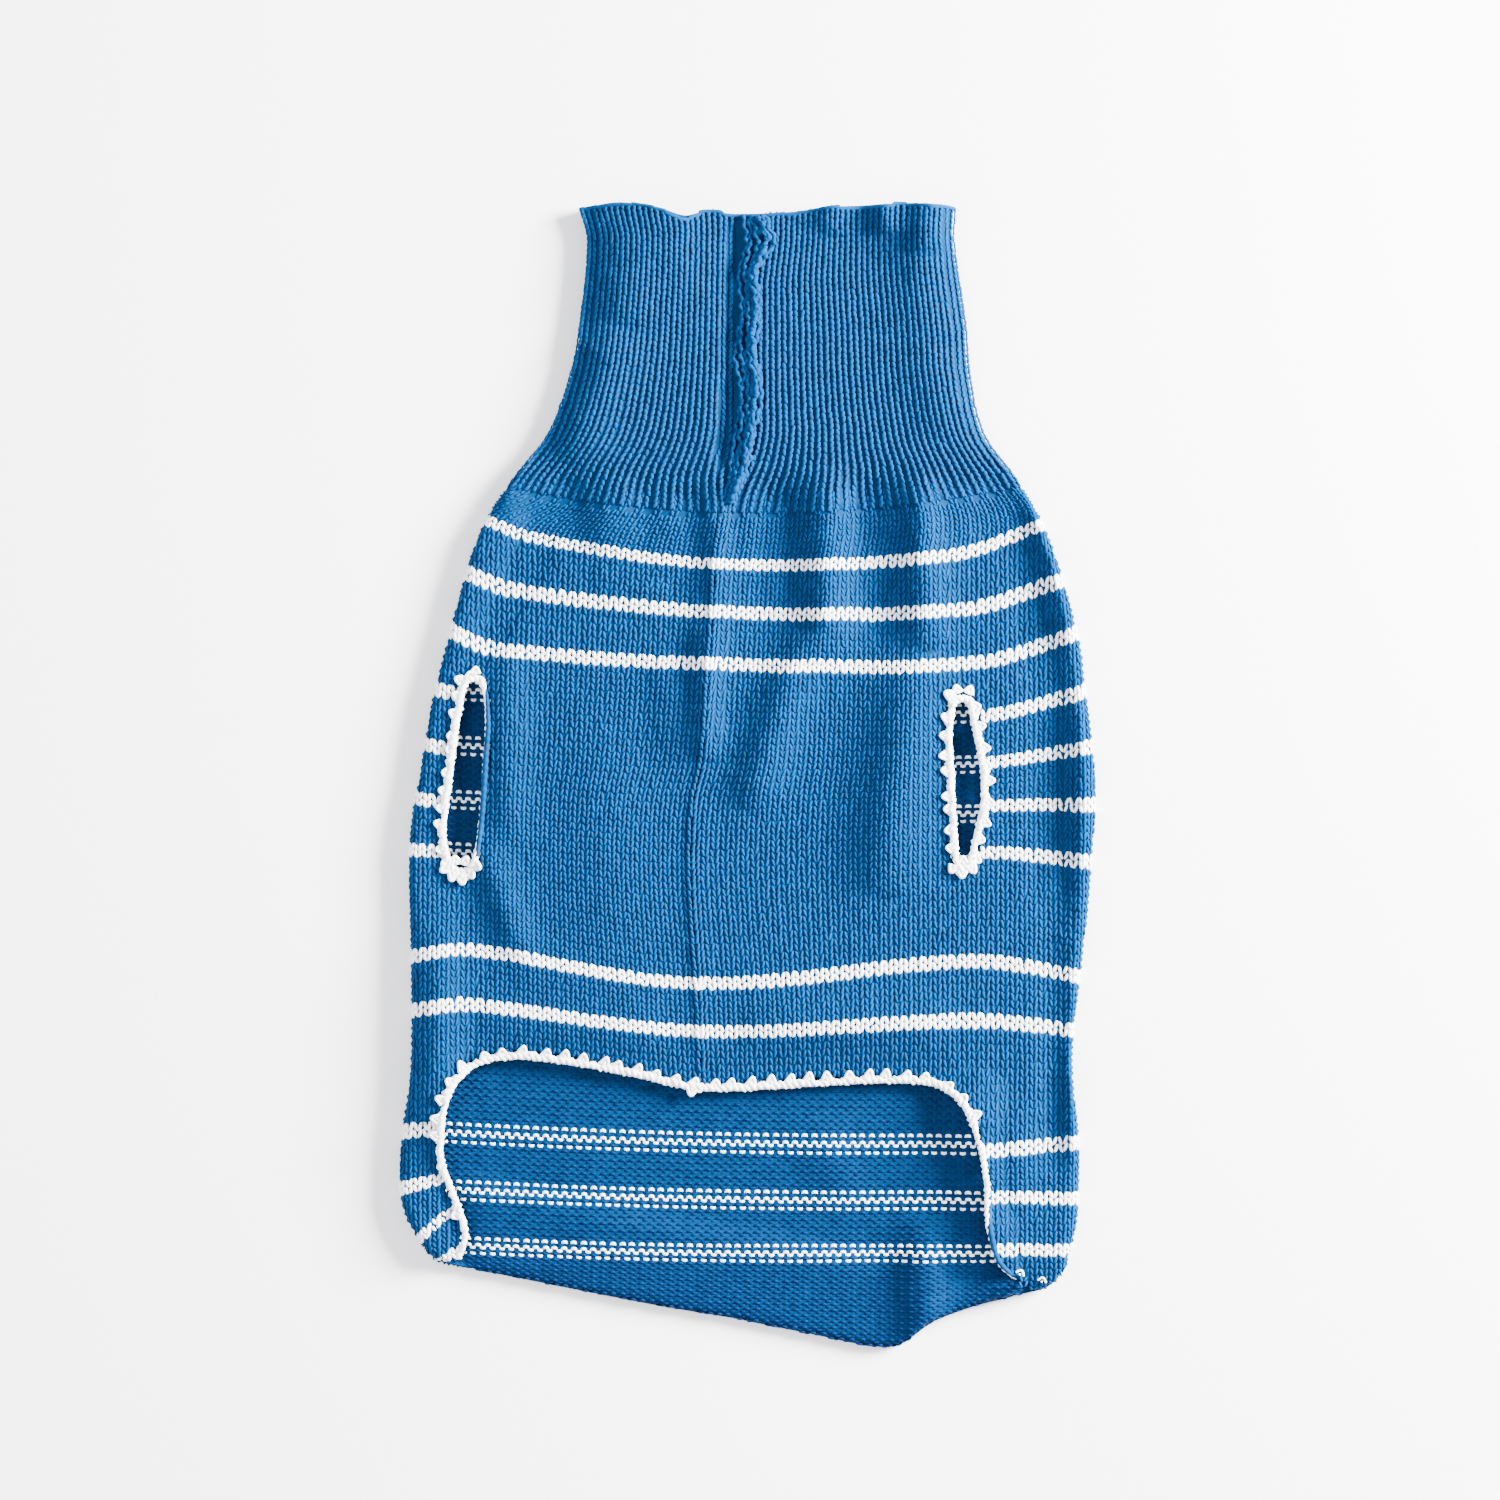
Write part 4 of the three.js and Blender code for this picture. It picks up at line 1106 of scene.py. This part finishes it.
# Tufts and knots at the ends of the edgings: edging, x, y, the way each points, and its size
TUFTS = [
    ("leg_edging_right", 66.6, -28.6, -0.5, -1.0, 1.1), ("leg_edging_right", 69.0, -30.0, -0.1, -1.0, 1.1),
    ("leg_edging_right", 71.2, -28.8, 0.6, -1.0, 1.1), ("leg_edging_right", 66.0, 24.6, -0.9, 0.5, 1.1),
    ("leg_edging_right", 67.6, 25.2, -0.3, 1.0, 1.1), ("leg_edging_right", 70.4, 25.0, 0.4, 1.0, 1.1),
    ("leg_edging_right", 69.1, -29.4, 0.0, 1.0, 1.0),
    ("leg_edging_left", -95.0, -29.2, -0.9, -0.6, 1.2), ("leg_edging_left", -93.6, -30.6, -0.3, -1.0, 1.3),
    ("leg_edging_left", -91.4, -31.4, 0.1, -1.0, 1.4), ("leg_edging_left", -89.4, -30.2, 0.6, -1.0, 1.2),
    ("leg_edging_left", -88.0, -28.6, 0.9, -0.5, 1.1), ("leg_edging_left", -92.6, -29.6, -0.3, 1.0, 1.2),
    ("leg_edging_left", -90.6, -29.8, 0.3, 1.0, 1.2),
    ("leg_edging_left", -90.6, 29.6, -1.0, 0.4, 0.9), ("leg_edging_left", -87.0, 31.4, 0.1, 1.0, 0.9),
    ("hem_edging", -17.4, -99.8, -0.2, -1.0, 1.1), ("hem_edging", -16.6, -99.2, 0.6, -0.8, 1.0),
    ("hem_edging", 86.8, -160.6, 0.5, 1.0, 0.6), ("hem_edging", 94.0, -163.0, 0.3, 1.0, 0.55),
]


def tufts(edging, yarn_radius):
    """Short ends and knots of the edging's yarn that stand out from its band."""
    parts = []
    for name, x, y, dx, dy, size in TUFTS:
        if name != edging:
            continue
        out = unit(np.array([dx, dy]))
        foot = np.array([x, y])
        rest = front_top(np.array([x]), np.array([y]))[0] + 0.4
        parts += picot(foot, out, np.array([-out[1], out[0]]), rest, front_top, 2.4 * size,
                       yarn_radius * 1.1 * size)
    return parts


def at_ends(run):
    """How far the hem's edging drops where it goes over the bottom fold."""
    return 2.6 * (1 - smooth(0, 6, np.minimum(run, run[-1] - run)))


def rolled_edge(cut, first, last, radius):
    """Selvedge of the cloth rolled over an edging, between two shares of the edging's length."""
    path, ahead, run = smooth_path(*CUTS[cut], 0.4)
    outwards = np.stack([-ahead[:, 1], ahead[:, 0]], -1)
    share = (run / run[-1] - first) / (last - first)
    part = (share > 0) & (share < 1)
    path = (path + outwards * 0.75)[part]
    height = front_top(*(path + outwards[part] * 0.8).T) - 0.35
    if cut == "arch":
        height = height - at_ends(run)[part]
    thick = radius * np.sin(math.pi * share[part]) ** 0.35 * (1 + 0.13 * np.sin(run[part] * 2.7))
    return tube(np.column_stack([path, height]), np.maximum(thick, 0.2), 8)


class SWEATER_OT_edgings(bpy.types.Operator):
    """Crochet the picot edgings of the leg holes and the hems"""

    bl_idname = "sweater.edgings"
    bl_label = "Crochet the edgings"

    def execute(self, context):
        sizes = context.scene.sweater
        radius = sizes.edging_yarn * 500
        length = sizes.picot_length * 1000
        plans = (
            ("leg_edging_left", "left_leg", lambda t: 0.01 < t < 0.46, 0.75),
            ("leg_edging_right", "right_leg", lambda t: False, 1.0),
            ("hem_edging", "arch", lambda t: t < 0.04 or 0.07 < t < 0.12 or t > 0.81, 1.0),
        )
        for node, cut, plain, share in plans:
            corners, closed = CUTS[cut]
            parts = crochet(cut, corners, closed, front_top, plain, radius, length * share)
            points, faces = joined(parts + tufts(node, radius))
            add_piece(f"{node}_yarn", points, faces, "combed_cotton_white", [node])
        rolls = [rolled_edge("left_leg", 0.02, 0.46, 1.0), rolled_edge("arch", 0.87, 0.995, 1.0)]
        for name, (points, faces) in zip(("leg_hole_roll", "strip_roll"), rolls):
            add_piece(name, points, faces, "combed_cotton_blue")
        reach = (STRIP_SHARE - 0.08) * CORNER_X
        x = np.linspace(-reach, reach, 25)
        away = HEM_RADIUS + TURN_DEPTH + 0.5 + 3 * GAP + BAND_HALF
        corners = np.column_stack([x, flap(x) + away])
        points, faces = joined(crochet(
            "back", corners, False, lambda x, y: np.full(np.shape(x), 0.55), lambda t: False, radius * 0.8,
            1.6))
        add_piece("hem_edging_back_yarn", points, faces, "combed_cotton_white",
                  ["hem_edging_back"])
        return {"FINISHED"}


def ribbon(u, v):
    """Surface of the collar's seam: its joined edges, low on the left and rolled up on the right."""
    y = 178.6 - v * 1.55

    def at(u, y):
        share = (u + 2) / 4
        x = mix(read(RIBBON, 0, 1, y), read(RIBBON, 0, 2, y), share)
        bed = np.maximum(front_top(seam(y) - 6, y), front_top(seam(y) + 6, y))
        roll = np.exp(-((share - 0.78) / 0.26) ** 2)
        rise = 0.4 + 0.9 * smooth(-0.1, 0.4, share) + 1.5 * roll + 0.35 * np.sin(y / 2.7) * roll
        return np.stack([x, y, bed + rise * smooth(84, 92, y)], -1)

    across = at(u + 0.1, y) - at(u - 0.1, y)
    down = at(u, y - 0.2) - at(u, y + 0.2)
    return at(u, y), unit(across), unit(np.cross(down, across))


class SWEATER_OT_seams(bpy.types.Operator):
    """Sew the belly seam and the collar seam"""

    bl_idname = "sweater.seams"
    bl_label = "Sew the seams"

    def execute(self, context):
        v = np.arange(RIB_COURSES, 139)
        pieces = add_stitches("belly_seam", seam_surface, np.zeros(len(v)), v, is_white(
            v, np.ones(len(v), bool)), BODY_LEG, ROUND_TOP, 51)
        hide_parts("belly_seam")
        chance = np.random.default_rng(52)
        v = np.arange(0, 59.5, 0.25)
        cords = []
        for k, (place, thick) in enumerate(((-1.7, 0.62), (-0.9, 0.66), (-0.1, 0.70), (0.7, 0.78),
                                            (1.2, 0.86), (1.8, 0.70))):
            bump = np.convolve(chance.normal(0, 1, len(v)), (0.3, 0.8, 0.3), "same")
            stray = np.convolve(chance.normal(0, 1, len(v)), np.ones(9) / 9, "same")
            u = place + 0.22 * np.sin(v / 2.6 + 2.2 * k) + 0.30 * stray + 0.16 * np.sin(v * 2.3 + k)
            here, _, out = ribbon(u, v)
            lift = 0.22 * np.cos(v / 2.6 + 2.2 * k)[:, None] - 0.2
            radius = thick * (1 + 0.16 * bump + 0.26 * np.sin(v * 4.1 + 2 * k))
            cords.append(tube(here + out * lift, np.clip(radius, 0.35, 1.15), 8))
        points, faces = joined(cords)
        add_piece("collar_seam_yarn", points, faces, "combed_cotton_blue",
                  ["collar_seam"])
        return {"FINISHED"}


class SWEATER_OT_stage(bpy.types.Operator):
    """Set up the floor, the lights and the camera over the sweater"""

    bl_idname = "sweater.stage"
    bl_label = "Set the stage"

    def execute(self, context):
        scene = context.scene
        mesh = bpy.data.meshes.new("floor")
        mesh.from_pydata([(-3, -3, 0), (3, -3, 0), (3, 3, 0), (-3, 3, 0)], [], [(0, 1, 2, 3)])
        floor = bpy.data.objects.new("floor", mesh)
        floor.location.z = -0.0002
        scene.collection.objects.link(floor)
        paper = bpy.data.materials.new("matt_white_paper")
        paper.use_nodes = True
        shader = paper.node_tree.nodes["Principled BSDF"]
        shader.inputs["Base Color"].default_value = colour("#fafafa")
        shader.inputs["Roughness"].default_value = 0.9
        mesh.materials.append(paper)
        world = bpy.data.worlds.new("soft_room")
        world.use_nodes = True
        world.node_tree.nodes["Background"].inputs["Color"].default_value = colour("#f3f4ff")
        world.node_tree.nodes["Background"].inputs["Strength"].default_value = 1.3
        scene.world = world
        self.lamp("key", (1.20, 0.45, 0.60), 0.6, scene.sweater.key_power)
        self.lamp("fill", (-0.8, -0.2, 1.2), 1.2, scene.sweater.key_power * 0.1)
        camera = bpy.data.objects.new("camera", bpy.data.cameras.new("camera"))
        scene.collection.objects.link(camera)
        camera.data.lens = 150
        camera.data.sensor_width = 36
        camera.location = (0.00096, 0.00768, 2.006)
        camera.data.clip_end = 20
        scene.camera = camera
        return {"FINISHED"}

    def lamp(self, name, place, size, power):
        light = bpy.data.lights.new(name, "AREA")
        light.size = size
        light.energy = power
        lamp = bpy.data.objects.new(name, light)
        lamp.location = place
        aim = -np.array(place)
        flat = math.hypot(aim[0], aim[1])
        lamp.rotation_euler = (math.atan2(flat, -aim[2]), 0, math.atan2(aim[1], aim[0]) - math.pi / 2)
        bpy.context.scene.collection.objects.link(lamp)


class SWEATER_PT_panel(bpy.types.Panel):
    """The sweater's sizes and its steps, in the order of making"""

    bl_idname = "SWEATER_PT_panel"
    bl_label = "Sweater"
    bl_space_type = "VIEW_3D"
    bl_region_type = "UI"
    bl_category = "Sweater"

    def draw(self, context):
        sizes = context.scene.sweater
        for name in ("blue", "white", "edging_yarn", "picot_length", "key_power"):
            self.layout.prop(sizes, name)
        for step in STEPS:
            self.layout.operator(step.bl_idname)


# The steps in the order they run: the edgings and seams come first
STEPS = (SWEATER_OT_edgings, SWEATER_OT_seams, SWEATER_OT_back, SWEATER_OT_belly,
         SWEATER_OT_collar, SWEATER_OT_stage)
CLASSES = (SweaterSizes, *STEPS, SWEATER_PT_panel)


def register():
    for made in CLASSES:
        bpy.utils.register_class(made)
    bpy.types.Scene.sweater = PointerProperty(type=SweaterSizes)


def unregister():
    del bpy.types.Scene.sweater
    for made in reversed(CLASSES):
        bpy.utils.unregister_class(made)


def main():
    register()
    for step in STEPS:
        group, name = step.bl_idname.split(".")
        getattr(getattr(bpy.ops, group), name)()


if __name__ == "__main__":
    main()
